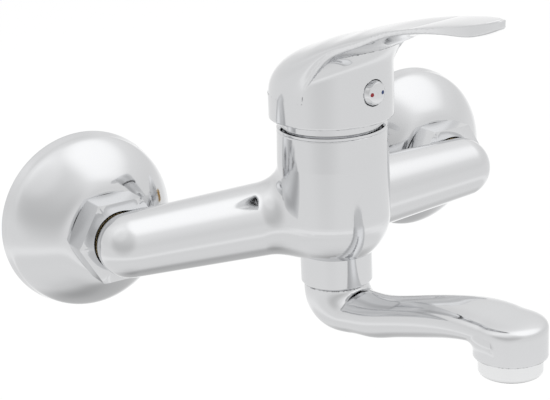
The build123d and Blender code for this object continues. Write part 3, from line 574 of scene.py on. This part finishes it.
def union_nut(side, name):
    """Hexagon nut with bevelled corners, its threaded bore and the lip round the neck."""
    spots = nut_outline()
    around = len(spots)
    rows = [[(nut_thread_bore, nut_mouth)] * around, [(nut_thread_bore + nut_mouth, 0.0)] * around]
    back = nut_bevel(spots, *nut_back_bevel)
    front = nut_bevel(spots, *nut_front_bevel)
    front = [[(radius, nut_height - drop) for radius, drop in row] for row in front]
    rows += back
    for share in nut_face_rows:
        sides = zip(back[-1], front[-1])
        rows.append([(a[0], a[1] + (b[1] - a[1]) * share) for a, b in sides])
    rows += front[::-1]
    for more, drop in nut_countersink:
        rows.append([(nut_neck_bore + more, nut_height - drop)] * around)
    for radius in (nut_neck_bore, nut_thread_bore):
        rows.append([(radius, nut_height - nut_lip)] * around)
    points = [
        (radius * math.cos(angle), radius * math.sin(angle), nut_back + height)
        for row in rows
        for (angle, _), (radius, height) in zip(spots, row)
    ]
    faces = ring_faces(len(rows), around)
    return add_mesh(f"nut_{name}", points, faces, wall_place(side), sharp=28)


def body_field(p):
    """Body casting: upright, two arms with elbows and necks, cartridge well and outlet boss."""
    bowl = arc_points(*body_bowl, bowl_steps)
    radius = np.hypot(p[:, 0], p[:, 1] - tap_axis.y / MM)
    upright = outline_field(radius, p[:, 2], bowl + body_outline[1:]) - body_edge_round
    arms = np.full(len(p), 1e9)
    necks = np.full(len(p), 1e9)
    for side in (-1, 1):
        end = np.array([side * inlet_x / MM, -barrel_end_reach, 0.0])
        arm = round_cone_field(p, barrel_root, end, barrel_root_radius, barrel_end_radius)
        across = np.hypot(p[:, 0] - end[0], p[:, 2])
        relief = np.maximum(across - relief_radius, -(p[:, 1] + relief_reach))
        arms = cut(np.minimum(arms, arm), relief, relief_edge_round)
        ends = np.maximum(p[:, 1] + neck_start, -barrel_end_reach - p[:, 1])
        necks = np.minimum(necks, np.maximum(across - neck_radius, ends))
    solid = np.minimum(joined(upright, arms, barrel_fillet), necks)
    q = p - np.array([0, tap_axis.y / MM, 0])
    boss = rod_field(q, outlet_boss_radius, outlet_boss_bottom, outlet_boss_top)
    solid = np.minimum(solid, boss)
    for bore, floor, top in (
        (well_radius, well_floor, body_top + 2),
        (nut_thread_radius, nut_thread_floor, body_top + 2),
        (outlet_bore, outlet_boss_bottom - 2, outlet_bore_top),
    ):
        solid = np.maximum(solid, -rod_field(q, bore, floor, top))
    return solid


table_steps = 600


def table(points):
    """Smooth curve through (place, value) points, level at its start, as a dense table."""
    places, values = (np.array(column, float) for column in zip(*points))
    steps = np.diff(places)
    slopes = np.diff(values) / steps
    count = len(places)
    matrix = np.zeros((count, count))
    right = np.zeros(count)
    matrix[0, :2] = (2 * steps[0], steps[0])
    right[0] = 6 * slopes[0]
    matrix[-1, -1] = 1
    for i in range(1, count - 1):
        matrix[i, i - 1 : i + 2] = (steps[i - 1], 2 * (steps[i - 1] + steps[i]), steps[i])
        right[i] = 6 * (slopes[i] - slopes[i - 1])
    bends = np.linalg.solve(matrix, right)
    at = np.linspace(places[0], places[-1], table_steps)
    i = np.clip(np.searchsorted(places, at, side="right") - 1, 0, count - 2)
    ahead, behind, h = places[i + 1] - at, at - places[i], steps[i]
    curve = (bends[i] * ahead**3 + bends[i + 1] * behind**3) / (6 * h)
    curve += (values[i] / h - bends[i] * h / 6) * ahead
    curve += (values[i + 1] / h - bends[i + 1] * h / 6) * behind
    return at, curve


def super_field(x, y, half_width, half_height, power):
    """Field of a rounded-square section, from its middle."""
    across = np.abs(x) / half_width
    up = np.abs(y) / half_height
    size = np.maximum((across**power + up**power) ** (1 / power), 1e-4)
    grow_x = (across / size) ** (power - 1) / half_width
    grow_y = (up / size) ** (power - 1) / half_height
    return (size - 1) / np.maximum(np.hypot(grow_x, grow_y), 0.02)


edge_table, rise_table, width_table, centre_table, depth_table = (
    table(points)
    for points in (lever_edge, lever_rise, lever_half_width, lever_centre, lever_depth)
)


def lever_coordinates(p):
    """Station of each point along the lever and its distance from the bend's line."""
    back = p[:, 1] + bend_reach
    up = p[:, 2] - bend_height
    ray = np.degrees(np.arctan2(up, np.maximum(back, 0)))
    station = np.where(back > 0, np.clip(ray, 0, bend_end), bend_end - 2 * back)
    distance = np.where(back > 0, np.hypot(back, np.maximum(up, 0)), up)
    return station, distance


def band_field(p):
    """Field of the lever: crowned top, narrow sides and a gently swelling underside."""
    station, distance = lever_coordinates(p)
    width = np.interp(station, *width_table)
    rise = np.interp(station, *rise_table)
    centre = np.interp(station, *centre_table) * rise
    depth = np.interp(station, *depth_table)
    v = distance - np.interp(station, *edge_table)
    semi_height = rise - centre
    semi_width = width / np.sqrt(1 - (centre / semi_height) ** 2)
    crown = super_field(p[:, 0], np.maximum(v, 0) - centre, semi_width, semi_height, 2.0)
    side = np.abs(p[:, 0]) - width - lever_side_inset * np.minimum(v, 0) / depth
    under = -v - depth - lever_swell * width * (1 - (p[:, 0] / width) ** 2)
    rim = common(np.where(v < 0, side, crown), under, lever_rim_round)
    reach = -p[:, 1] - bend_reach - lever_length
    return np.maximum(common(rim, reach, lever_tip_round), bend_height - p[:, 2])


def front_field(p):
    """Field of the hood's round front with the hollow flare under the lever."""
    station, distance = lever_coordinates(p)
    radius = np.hypot(p[:, 0], p[:, 1])
    height = p[:, 2] - flare_height + flare_slope * (hood_radius + p[:, 1])
    knee = flare_radius * math.sin(math.radians(flare_sweep))
    bent = np.clip(height, 0, knee)
    wall = hood_radius + flare_radius - np.sqrt(flare_radius**2 - bent**2)
    wall += np.clip(height - knee, 0, flare_overrun) * math.tan(math.radians(flare_sweep))
    lean = np.sqrt(1 - (bent / flare_radius) ** 2)
    places, edges = edge_table
    rays = np.radians(np.minimum(places, bend_end))
    reaches = bend_reach + np.maximum(places - bend_end, 0) / 2 - edges * np.cos(rays)
    plan = np.interp(-p[:, 1], reaches, width_table[1]) - flare_side_inset
    flare = np.maximum((radius - wall) * lean, np.abs(p[:, 0]) - plan)
    flare = np.maximum(flare, np.maximum(p[:, 1] + flare_start, -flare_end - p[:, 1]))
    front = np.minimum(radius - hood_radius, flare)
    cover = distance - np.interp(station, *edge_table) + front_sink
    return np.maximum(front, np.maximum(cover, bend_height - front_sink - p[:, 2]))


def handle_field(p):
    """Field of the hood and lever with the room inside."""
    radius = np.hypot(p[:, 0], p[:, 1])
    skirt = common(radius - hood_radius, hood_bottom - p[:, 2], hood_edge_round)
    skirt = np.maximum(skirt, p[:, 2] - bend_height - skirt_overlap)
    outside = np.minimum(np.minimum(skirt, front_field(p)), band_field(p))
    room = outline_field(radius, p[:, 2], cavity_outline)
    along = np.hypot(p[:, 0], p[:, 2] - screw_height)
    boss = np.maximum(radius - stem_boss[0], stem_boss[1] - p[:, 2])
    boss = np.minimum(boss, np.maximum(along - screw_boss_radius, p[:, 1]))
    solid = np.maximum(outside, -np.maximum(room, -boss))
    flats = np.maximum(np.abs(p[:, 0]), np.abs(p[:, 1])) - stem_socket[0] / 2
    socket = np.maximum(flats, np.maximum(stem_socket[1] - p[:, 2], p[:, 2] - stem_socket[2]))
    solid = np.maximum(solid, -socket)
    solid = np.maximum(solid, -np.maximum(along - access_radius, p[:, 1] + access_end))
    seat = np.maximum(along - plug_hole[0], p[:, 1] + plug_hole[1])
    return cut(solid, seat, plug_hole_edge)


spout_tables = [
    table(list(zip(spout_stations, values)))
    for values in (spout_inside, spout_outside, spout_half_width, spout_power, spout_share)
]


def spout_field(p):
    """Field of the swivel spout: tail, bend, arm, head and outlet cup."""
    back = p[:, 1] + spout_bend_reach
    down = spout_top - p[:, 2]
    angle = np.arctan2(np.maximum(down, 0), np.maximum(back, 1e-6))
    bend = angle / (math.pi / 2) * spout_bend_length
    station = np.where(back > 0, bend, spout_bend_length - back)
    distance = np.where(back > 0, np.hypot(back, np.maximum(down, 0)), down)
    inside, outside, width, power, share = (np.interp(station, *t) for t in spout_tables)
    depth = outside - inside
    v = inside + share * depth - distance
    upper = super_field(p[:, 0], v, width, share * depth, power)
    lower = super_field(p[:, 0], v, width, (1 - share) * depth, spout_lower_power)
    arm = np.where(v > 0, upper, lower)
    arm = np.maximum(arm, np.where(back > 0, -down, -1e3))
    arm = np.maximum(arm, station - spout_stations[-1])
    q = p + np.array([0, outlet_reach, 0])
    radius = np.hypot(q[:, 0], q[:, 1])
    up = q[:, 2] - cup_top + cup_edge
    cup = super_field(radius, np.maximum(up, 0), cup_radius, cup_edge, cup_power)
    cup = common(cup, cup_rim - q[:, 2], cup_rim_round)
    below = np.clip((cup_top - cup_blend_drop - p[:, 2]) / cup_blend_height, 0, 1)
    solid = joined(arm, cup, cup_blend[0] + cup_blend[1] * below**2 * (3 - 2 * below))
    solid = np.minimum(solid, rod_field(p, tail_radius, spout_top - 1, tail_top))
    for groove, low, high in tail_grooves:
        ring = rod_field(p, tail_groove_outer, low, high)
        solid = np.maximum(solid, -np.maximum(ring, groove - np.hypot(p[:, 0], p[:, 1])))
    solid = np.maximum(solid, -rod_field(p, tail_bore, tail_bore_floor, tail_top + 1))
    bore = np.maximum(radius - cup_bore[0], p[:, 2] - cup_bore[1])
    return np.maximum(solid, -bore)


def arc_points(start, middle, end, steps):
    """Points on the circle arc through three points."""
    (ax, ay), (bx, by), (cx, cy) = start, middle, end
    d = 2 * (ax * (by - cy) + bx * (cy - ay) + cx * (ay - by))
    a, b, c = ax**2 + ay**2, bx**2 + by**2, cx**2 + cy**2
    ux = (a * (by - cy) + b * (cy - ay) + c * (ay - by)) / d
    uy = (a * (cx - bx) + b * (ax - cx) + c * (bx - ax)) / d
    radius = math.hypot(ax - ux, ay - uy)
    first = math.atan2(ay - uy, ax - ux)
    turn = (math.atan2(cy - uy, cx - ux) - first + math.pi) % (2 * math.pi) - math.pi
    angles = [first + turn * k / steps for k in range(steps + 1)]
    return [(ux + radius * math.cos(t), uy + radius * math.sin(t)) for t in angles]


# Nodes. A node given as an input's value stands for its first output.


def fill(tree, node, *values, **inputs):
    """Sets a node's inputs, in their order or by name, to plain values or other nodes' outputs."""
    named = [node.inputs[name.replace("_", " ")] for name in inputs]
    sockets = list(node.inputs)[: len(values)] + named
    for socket, value in zip(sockets, [*values, *inputs.values()]):
        if isinstance(value, bpy.types.Node):
            value = value.outputs[0]
        if isinstance(value, bpy.types.NodeSocket):
            tree.links.new(value, socket)
        else:
            socket.default_value = value
    return node


def add_node(tree, kind, *values, settings=(), **inputs):
    """New node with its settings and inputs."""
    node = tree.nodes.new(kind)
    for name, value in settings:
        setattr(node, name, value)
    return fill(tree, node, *values, **inputs)


def math_node(tree, operation, *values):
    """Math node on plain values or other nodes' outputs."""
    return add_node(tree, "ShaderNodeMath", *values, settings=[("operation", operation)])


def mixed_shader(tree, share, first, second):
    """Mix Shader node: the second shader's share over the first."""
    return add_node(tree, "ShaderNodeMixShader", share, first, second)


# Finishes

white = (1, 1, 1, 1)
patch_grain = 8
noise_range = (0.1, 0.5)


def finish(name, color, metallic, rough, grain, bump, spread, coat=0.0):
    """Material whose roughness and fine relief vary over the surface."""
    material = bpy.data.materials.new(name)
    material.use_nodes = True
    tree = material.node_tree
    place = add_node(tree, "ShaderNodeTexCoord").outputs["Object"]
    patches = add_node(
        tree, "ShaderNodeTexNoise", Vector=place, Scale=grain / patch_grain, Detail=3.0
    )
    fine = add_node(tree, "ShaderNodeTexNoise", Vector=place, Scale=grain, Detail=4.0)
    both = math_node(tree, "MULTIPLY", patches, fine)
    fill(
        tree,
        tree.nodes["Principled BSDF"],
        Base_Color=(*color, 1),
        Metallic=metallic,
        Coat_Weight=coat,
        Roughness=add_node(tree, "ShaderNodeMapRange", both, *noise_range, rough, rough + spread),
        Normal=add_node(tree, "ShaderNodeBump", Height=fine, Strength=1.0, Distance=bump),
    )
    return material


# Colour, metallic, roughness, grain per metre, relief in metres and spread of the roughness
finishes = {
    "chrome": finish("polished_chrome", (0.72, 0.725, 0.735), 1.0, 0.06, 300.0, 4e-7, 0.06),
    "brass": finish("turned_brass", (0.66, 0.5, 0.25), 1.0, 0.2, 900.0, 2e-6, 0.12),
    "steel": finish("ground_steel", (0.56, 0.57, 0.58), 1.0, 0.25, 1200.0, 6e-6, 0.1),
    "ceramic": finish("lapped_ceramic", (0.9, 0.88, 0.82), 0.0, 0.2, 800.0, 2e-6, 0.08, coat=0.3),
    "cartridge_plastic": finish(
        "moulded_grey_plastic", (0.78, 0.79, 0.78), 0.0, 0.4, 700.0, 1e-5, 0.12
    ),
    "guide_plastic": finish(
        "moulded_guide_plastic", (0.62, 0.64, 0.66), 0.0, 0.38, 700.0, 1e-5, 0.12
    ),
    "rubber": finish("black_rubber", (0.03, 0.03, 0.03), 0.0, 0.6, 600.0, 2e-5, 0.2),
    "red_enamel": finish("red_enamel", (0.3, 0.006, 0.014), 0.0, 0.3, 900.0, 4e-6, 0.08),
    "blue_enamel": finish("blue_enamel", (0.006, 0.035, 0.15), 0.0, 0.3, 900.0, 4e-6, 0.08),
}
bright_chrome = finish("bright_chrome", (0.84, 0.845, 0.85), 1.0, 0.1, 300.0, 4e-7, 0.08)


# Pieces that Geometry Nodes make: what winds round an axis or repeats over a face


def open_tree(name, *sizes):
    """Geometry tree with a named input for each size, and those inputs."""
    tree = bpy.data.node_groups.new(name, "GeometryNodeTree")
    shape = "NodeSocketGeometry"
    tree.interface.new_socket("Geometry", in_out="OUTPUT", socket_type=shape)
    for size in sizes:
        tree.interface.new_socket(size, in_out="INPUT", socket_type="NodeSocketFloat")
    return tree, tree.nodes.new("NodeGroupInput").outputs


def close_tree(tree, shape, material):
    """Ends a tree with its copies made real and its material set."""
    real = add_node(tree, "GeometryNodeRealizeInstances", shape)
    coated = add_node(tree, "GeometryNodeSetMaterial", real, Material=material)
    add_node(tree, "NodeGroupOutput", coated)
    return tree


def thread_tree(material):
    """Outside thread: a ridge wound up the Z axis, running out to nothing at both ends."""
    tree, given = open_tree("wound_thread", "Root Radius", "Depth", "Pitch", "Length")
    spiral = add_node(
        tree,
        "GeometryNodeCurveSpiral",
        Resolution=thread_steps,
        Rotations=math_node(tree, "DIVIDE", given["Length"], given["Pitch"]),
        Start_Radius=given["Root Radius"],
        End_Radius=given["Root Radius"],
        Height=given["Length"],
    )
    level = add_node(tree, "GeometryNodeSetCurveNormal", spiral, settings=[("mode", "Z_UP")])
    ridge = add_node(
        tree,
        "GeometryNodeCurvePrimitiveQuadrilateral",
        settings=[("mode", "TRAPEZOID")],
        Offset=0.0,
        Height=given["Depth"],
        Bottom_Width=math_node(tree, "MULTIPLY", given["Pitch"], thread_root_share),
        Top_Width=math_node(tree, "MULTIPLY", given["Pitch"], thread_crest_share),
    )
    half = math_node(tree, "MULTIPLY", given["Depth"], 0.5)
    lift = add_node(tree, "ShaderNodeCombineXYZ", Y=half)
    stood = add_node(tree, "GeometryNodeTransform", ridge, Translation=lift)
    turned = add_node(tree, "GeometryNodeTransform", stood, Rotation=(0, 0, thread_face_turn))
    along = add_node(tree, "GeometryNodeSplineParameter").outputs["Factor"]
    from_end = math_node(tree, "MINIMUM", along, math_node(tree, "SUBTRACT", 1.0, along))
    swell = add_node(
        tree, "ShaderNodeMapRange", from_end, From_Max=thread_runout, To_Min=thread_end_scale
    )
    wound = add_node(
        tree, "GeometryNodeCurveToMesh", level, turned, Scale=swell, Fill_Caps=True
    )
    return close_tree(tree, wound, material)


def grid_tree(material):
    """Round grid: bars across each way, each as long as the circle is wide there."""
    tree, given = open_tree("round_grid", "Radius", "Pitch", "Bar", "Height")
    across = math_node(tree, "MULTIPLY", given["Radius"], 2.0)
    count = math_node(tree, "FLOOR", math_node(tree, "DIVIDE", across, given["Pitch"]))
    first = math_node(tree, "MULTIPLY", math_node(tree, "SUBTRACT", count, 1.0), -0.5)
    start = math_node(tree, "MULTIPLY", first, given["Pitch"])
    row = add_node(
        tree,
        "GeometryNodeMeshLine",
        count,
        Start_Location=add_node(tree, "ShaderNodeCombineXYZ", X=start),
        Offset=add_node(tree, "ShaderNodeCombineXYZ", X=given["Pitch"]),
    )
    size = add_node(tree, "ShaderNodeCombineXYZ", given["Bar"], 1.0, given["Height"])
    bar = add_node(tree, "GeometryNodeMeshCube", size)
    spot = add_node(tree, "GeometryNodeInputPosition")
    away = add_node(tree, "ShaderNodeSeparateXYZ", spot).outputs["X"]
    radius_squared = math_node(tree, "MULTIPLY", given["Radius"], given["Radius"])
    away_squared = math_node(tree, "MULTIPLY", away, away)
    half = math_node(tree, "SQRT", math_node(tree, "SUBTRACT", radius_squared, away_squared))
    length = math_node(tree, "MULTIPLY", half, 2.0)
    bars = add_node(
        tree,
        "GeometryNodeInstanceOnPoints",
        Points=row,
        Instance=bar,
        Scale=add_node(tree, "ShaderNodeCombineXYZ", 1.0, length, 1.0),
    )
    crossed = add_node(tree, "GeometryNodeTransform", bars, Rotation=(0, 0, math.pi / 2))
    both = add_node(tree, "GeometryNodeJoinGeometry", bars)
    fill(tree, both, crossed)
    return close_tree(tree, both, material)


def settled(piece, place, sharp):
    """Applies a piece's modifiers, moves its mesh to its place and shades it smooth."""
    graph = bpy.context.evaluated_depsgraph_get()
    done = bpy.data.meshes.new_from_object(piece.evaluated_get(graph))
    piece.modifiers.clear()
    piece.data = done
    done.transform(place)
    done.shade_smooth()
    done.set_sharp_from_angle(angle=math.radians(sharp))
    return piece


def grown_piece(name, tree, place, sharp=30.0, **sizes):
    """Plain mesh that a geometry tree makes from its named sizes, in millimetres, at its place."""
    piece = bpy.data.objects.new(name, bpy.data.meshes.new(name))
    bpy.context.scene.collection.objects.link(piece)
    run = piece.modifiers.new("run", "NODES")
    run.node_group = tree
    for item in tree.interface.items_tree:
        if item.in_out == "INPUT":
            run[item.identifier] = float(sizes[item.name.replace(" ", "_")])
    return settled(piece, place @ Matrix.Scale(MM, 4), sharp)


def union_with_thread(side, name, tree):
    """Wall union whose tail is turned down to the root of its thread, and the thread on it."""
    union = smooth_copy(f"eccentric_union_{name}")
    place = wall_place(side) @ Matrix.Translation((0, -wall_thread_drop * MM, 0))
    back = place.inverted()
    root = wall_thread_radius - wall_thread_depth
    for vertex in union.data.vertices:
        spot = back @ vertex.co
        radius = math.hypot(spot.x, spot.y)
        on_tail = abs(radius - wall_thread_radius * MM) < tail_match * MM
        if on_tail and spot.z < (wall_thread_end + tail_overrun) * MM:
            spot.x *= root * MM / radius
            spot.y *= root * MM / radius
            vertex.co = place @ spot
    dress(union, "brass", "root", f"eccentric_union_{name}")
    thread = grown_piece(
        f"wall_thread_{name}",
        tree,
        place @ Matrix.Translation((0, 0, wall_thread_start * MM)),
        Root_Radius=root - wall_thread_sink,
        Depth=wall_thread_depth,
        Pitch=wall_thread_pitch,
        Length=wall_thread_end - wall_thread_start,
    )
    dress(thread, "brass", "root")


def flow_straightener(place):
    """Plastic straightener in the outlet: a sleeve with a grid across its lower end."""
    sleeve = turned_piece("straightener_sleeve", softened(straightener, support=0.1), place)
    dress(sleeve, "guide_plastic", "spout", "aerator_insert")
    low, high = straightener_grid
    grid = grown_piece(
        "straightener_grid",
        grid_tree(finishes["guide_plastic"]),
        place @ Matrix.Translation((0, 0, (low + high) / 2 * MM)),
        Radius=straightener_grid_radius,
        Pitch=straightener_pitch,
        Bar=straightener_bar,
        Height=high - low,
    )
    dress(grid, "guide_plastic", "spout")


def dress(piece, slot, body, *nodes):
    """Gives a finished piece its material, slot and body, and lets it stand for its nodes."""
    piece.data.materials.clear()
    piece.data.materials.append(finishes[slot])
    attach(piece, body)
    if nodes:
        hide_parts(*nodes)


# Metres within which a solid's loose triangles are merged
weld_reach = 0.000002


def smooth_copy(node, sharp=32.0):
    """Copy of a node with its loose triangles merged and its curved faces shaded smooth."""
    mesh = frame["nodes"][node].data.copy()
    copy = bpy.data.objects.new(node + "_skin", mesh)
    bpy.context.scene.collection.objects.link(copy)
    weld = copy.modifiers.new("weld", "WELD")
    weld.merge_threshold = weld_reach
    return settled(copy, Matrix.Identity(4), sharp)


def dress_nodes():
    """Every node that still shows takes the finish of its slot."""
    for part in frame["record"]["subparts"]:
        node = frame["nodes"][part["node"]]
        node.data.materials.clear()
        node.data.materials.append(finishes[part["material_slot"]])


def dress_ring(name, corners, place, body, node, finish_of_ring=None):
    """Chromed ring of softened section that stands for a node."""
    ring = turned_piece(name, softened(corners), place)
    dress(ring, "chrome", body, node)
    if finish_of_ring:
        ring.data.materials[0] = finish_of_ring


def build_tap():
    dress_nodes()
    cell = 0.55
    sides = ((-1, "left"), (1, "right"))
    for side, name in sides:
        dress(rosette(side, name), "chrome", "root", f"rosette_{name}")
        dress(union_nut(side, name), "chrome", f"nut_{name}", f"union_nut_{name}")
    reach = inlet_x / MM + barrel_end_radius
    low = (-reach, tap_axis.y / MM - body_outline[0][0], outlet_boss_bottom)
    high = (reach, body_back, body_top)
    body = field_piece("body", body_field, low, high, cell, Matrix.Identity(4))
    dress(body, "chrome", "root", "mixer_body")
    dress_ring("ring", trim_ring, axis_place(0), "root", "trim_ring")
    dress_ring("collar", collar, axis_place(0), "root", "spout_collar")
    low = (-hood_radius, -bend_reach - lever_length, hood_bottom)
    high = (hood_radius, hood_radius, bend_height + lever_top_rise)
    handle = field_piece("handle", handle_field, low, high, cell, axis_place(handle_turn))
    dress(handle, "chrome", "lever", "lever_handle")
    low = (-cup_radius, -outlet_reach - cup_radius, spout_bottom)
    high = (cup_radius, spout_stub, tail_top)
    spout = field_piece("spout_skin", spout_field, low, high, cell, axis_place(spout_turn))
    dress(spout, "chrome", "spout", "spout")
    dress(smooth_copy("indicator_plug"), "chrome", "lever", "indicator_plug")
    threads = thread_tree(finishes["brass"])
    for side, name in sides:
        union_with_thread(side, name, threads)
    outlet = axis_place(spout_turn) @ Matrix.Translation((0, -outlet_reach * MM, 0))
    dress_ring("outlet_ring", outlet_ring, outlet, "spout", "aerator_housing", bright_chrome)
    flow_straightener(outlet)


# Camera, floor and light

photo_width = 550
photo_height = 400
camera_azimuth = -30.59
camera_elevation = 17.43
camera_roll = 2.45
camera_distance = 0.61557
camera_target = Vector((-0.01575, -0.05, 0.02051))
camera_focus = 1657.1
camera_centre = (283.03, 167.92)
sensor_width = 36.0
floor_height = -0.12
floor_half = 3.0
floor_glow = 1.06
floor_glow_share = 0.85


def add_camera():
    """Camera at the photograph's place, its lens in pixels of the photograph's width."""
    azimuth, elevation = math.radians(camera_azimuth), math.radians(camera_elevation)
    roll = math.radians(camera_roll)
    flat = math.cos(elevation)
    back = Vector((math.sin(azimuth) * flat, -math.cos(azimuth) * flat, math.sin(elevation)))
    level = Vector((math.cos(azimuth), math.sin(azimuth), 0))
    up = back.cross(level)
    right = level * math.cos(roll) - up * math.sin(roll)
    top = up * math.cos(roll) + level * math.sin(roll)
    data = bpy.data.cameras.new("camera")
    data.sensor_width = sensor_width
    data.lens = camera_focus / photo_width * sensor_width
    data.shift_x = (photo_width / 2 - camera_centre[0]) / photo_width
    data.shift_y = (camera_centre[1] - photo_height / 2) / photo_width
    data.clip_start = 0.05
    camera = bpy.data.objects.new("camera", data)
    turn = Matrix((right, top, back)).transposed().to_4x4()
    camera.matrix_world = Matrix.Translation(camera_target + back * camera_distance) @ turn
    bpy.context.scene.collection.objects.link(camera)
    bpy.context.scene.camera = camera


def add_floor():
    """Pale floor well below the tap, which glows white where the camera or a reflection sees it."""
    mesh = bpy.data.meshes.new("floor")
    ways = ((-1, -1), (1, -1), (1, 1), (-1, 1))
    corners = [(x * floor_half, y * floor_half, floor_height) for x, y in ways]
    mesh.from_pydata(corners, [], [(0, 1, 2, 3)])
    floor = bpy.data.objects.new("floor", mesh)
    bpy.context.scene.collection.objects.link(floor)
    material = bpy.data.materials.new("pale_floor")
    material.use_nodes = True
    tree = material.node_tree
    shader = tree.nodes["Principled BSDF"]
    fill(tree, shader, Base_Color=(0.9, 0.9, 0.9, 1), Roughness=0.7)
    glow = add_node(tree, "ShaderNodeEmission", Color=white, Strength=floor_glow)
    rays = add_node(tree, "ShaderNodeLightPath").outputs
    seen = math_node(tree, "MAXIMUM", rays["Is Camera Ray"], rays["Is Glossy Ray"])
    share = math_node(tree, "MULTIPLY", seen, floor_glow_share)
    fill(tree, tree.nodes["Material Output"], Surface=mixed_shader(tree, share, shader, glow))
    mesh.materials.append(material)
    floor.visible_glossy = False


# Light that the chrome mirrors: brightness at heights from straight down (-1) to straight up (1)
sky_levels = [
    (-1.0, 0.72),
    (-0.97, 0.78),
    (-0.92, 0.85),
    (-0.82, 0.88),
    (-0.6, 0.89),
    (-0.5, 1.01),
    (-0.38, 0.91),
    (-0.1, 0.88),
    (0.15, 0.85),
    (0.35, 0.89),
    (0.6, 0.98),
    (0.8, 1.05),
    (1.0, 1.08),
]
# Soft patches in it: direction (0 degrees is straight out from the wall, 90 to the right), height
# angle, half width and strength
sky_patches = [
    (62, 62, 32, 0.24),
    (-75, 52, 26, 0.1),
    (-50, 28, 46, -0.2),
    (142, -14, 26, 0.14),
    (140, -66, 28, -0.3),
    (175, 45, 30, -0.12),
]


sky_curve_top = 2.0
patch_edge = 1.25
patch_core = 0.25
plain_light = 0.6


def sky_curve(tree, height):
    """Brightness of the mirrored sky over height."""
    along = math_node(tree, "MULTIPLY_ADD", height, 0.5, 0.5)
    curve = add_node(tree, "ShaderNodeFloatCurve", Value=along)
    spots = [((up + 1) / 2, level / sky_curve_top) for up, level in sky_levels]
    points = curve.mapping.curves[0].points
    curve.mapping.use_clip = False
    for point, spot in zip(points, (spots[0], spots[-1])):
        point.location = spot
    for spot in spots[1:-1]:
        points.new(*spot)
    curve.mapping.update()
    return math_node(tree, "MULTIPLY", curve, sky_curve_top)


def sky_patch(tree, place, around, height, half, strength):
    """Soft round patch of the mirrored sky."""
    a, e = math.radians(around), math.radians(height)
    way = (math.sin(a) * math.cos(e), -math.cos(a) * math.cos(e), math.sin(e))
    product = [("operation", "DOT_PRODUCT")]
    near = add_node(tree, "ShaderNodeVectorMath", place, way, settings=product)
    return add_node(
        tree,
        "ShaderNodeMapRange",
        near.outputs["Value"],
        settings=[("interpolation_type", "SMOOTHERSTEP")],
        From_Min=math.cos(math.radians(half * patch_edge)),
        From_Max=math.cos(math.radians(half * patch_core)),
        To_Max=strength,
    )


def add_world():
    """White studio round the tap: plain light, a white background, and a sky for reflections."""
    world = bpy.data.worlds.new("studio")
    bpy.context.scene.world = world
    world.use_nodes = True
    tree = world.node_tree
    tree.nodes.clear()
    place = add_node(tree, "ShaderNodeTexCoord").outputs["Generated"]
    total = sky_curve(tree, add_node(tree, "ShaderNodeSeparateXYZ", place).outputs["Z"])
    for patch in sky_patches:
        total = math_node(tree, "ADD", total, sky_patch(tree, place, *patch))
    mirrored, plain, background = (
        add_node(tree, "ShaderNodeBackground", Color=white, Strength=strength)
        for strength in (total, plain_light, 1.0)
    )
    rays = add_node(tree, "ShaderNodeLightPath").outputs
    lit = mixed_shader(tree, rays["Is Glossy Ray"], plain, mirrored)
    seen = math_node(tree, "MAXIMUM", rays["Is Camera Ray"], rays["Is Transmission Ray"])
    sky = mixed_shader(tree, seen, lit, background)
    add_node(tree, "ShaderNodeOutputWorld", Surface=sky)


def add_lamp(name, place, size, power, aim=(0, -0.06, 0.0)):
    """Soft rectangular lamp that looks at the tap; the chrome mirrors the sky in its place."""
    data = bpy.data.lights.new(name, "AREA")
    data.shape = "RECTANGLE"
    data.size, data.size_y = size
    data.energy = power
    lamp = bpy.data.objects.new(name, data)
    lamp.location = place
    lamp.rotation_mode = "QUATERNION"
    lamp.rotation_quaternion = (Vector(place) - Vector(aim)).to_track_quat("Z", "Y")
    lamp.visible_glossy = False
    bpy.context.scene.collection.objects.link(lamp)


def light_studio():
    """Sky and lamps."""
    add_world()
    add_lamp("key_lamp", (-0.5, -0.7, 1.1), (0.8, 0.8), 7.0)
    add_lamp("side_lamp", (1.2, -0.4, 0.7), (0.6, 0.8), 4.0)


add_camera()
build_tap()
add_floor()
light_studio()
bpy.context.scene.view_settings.view_transform = "Standard"
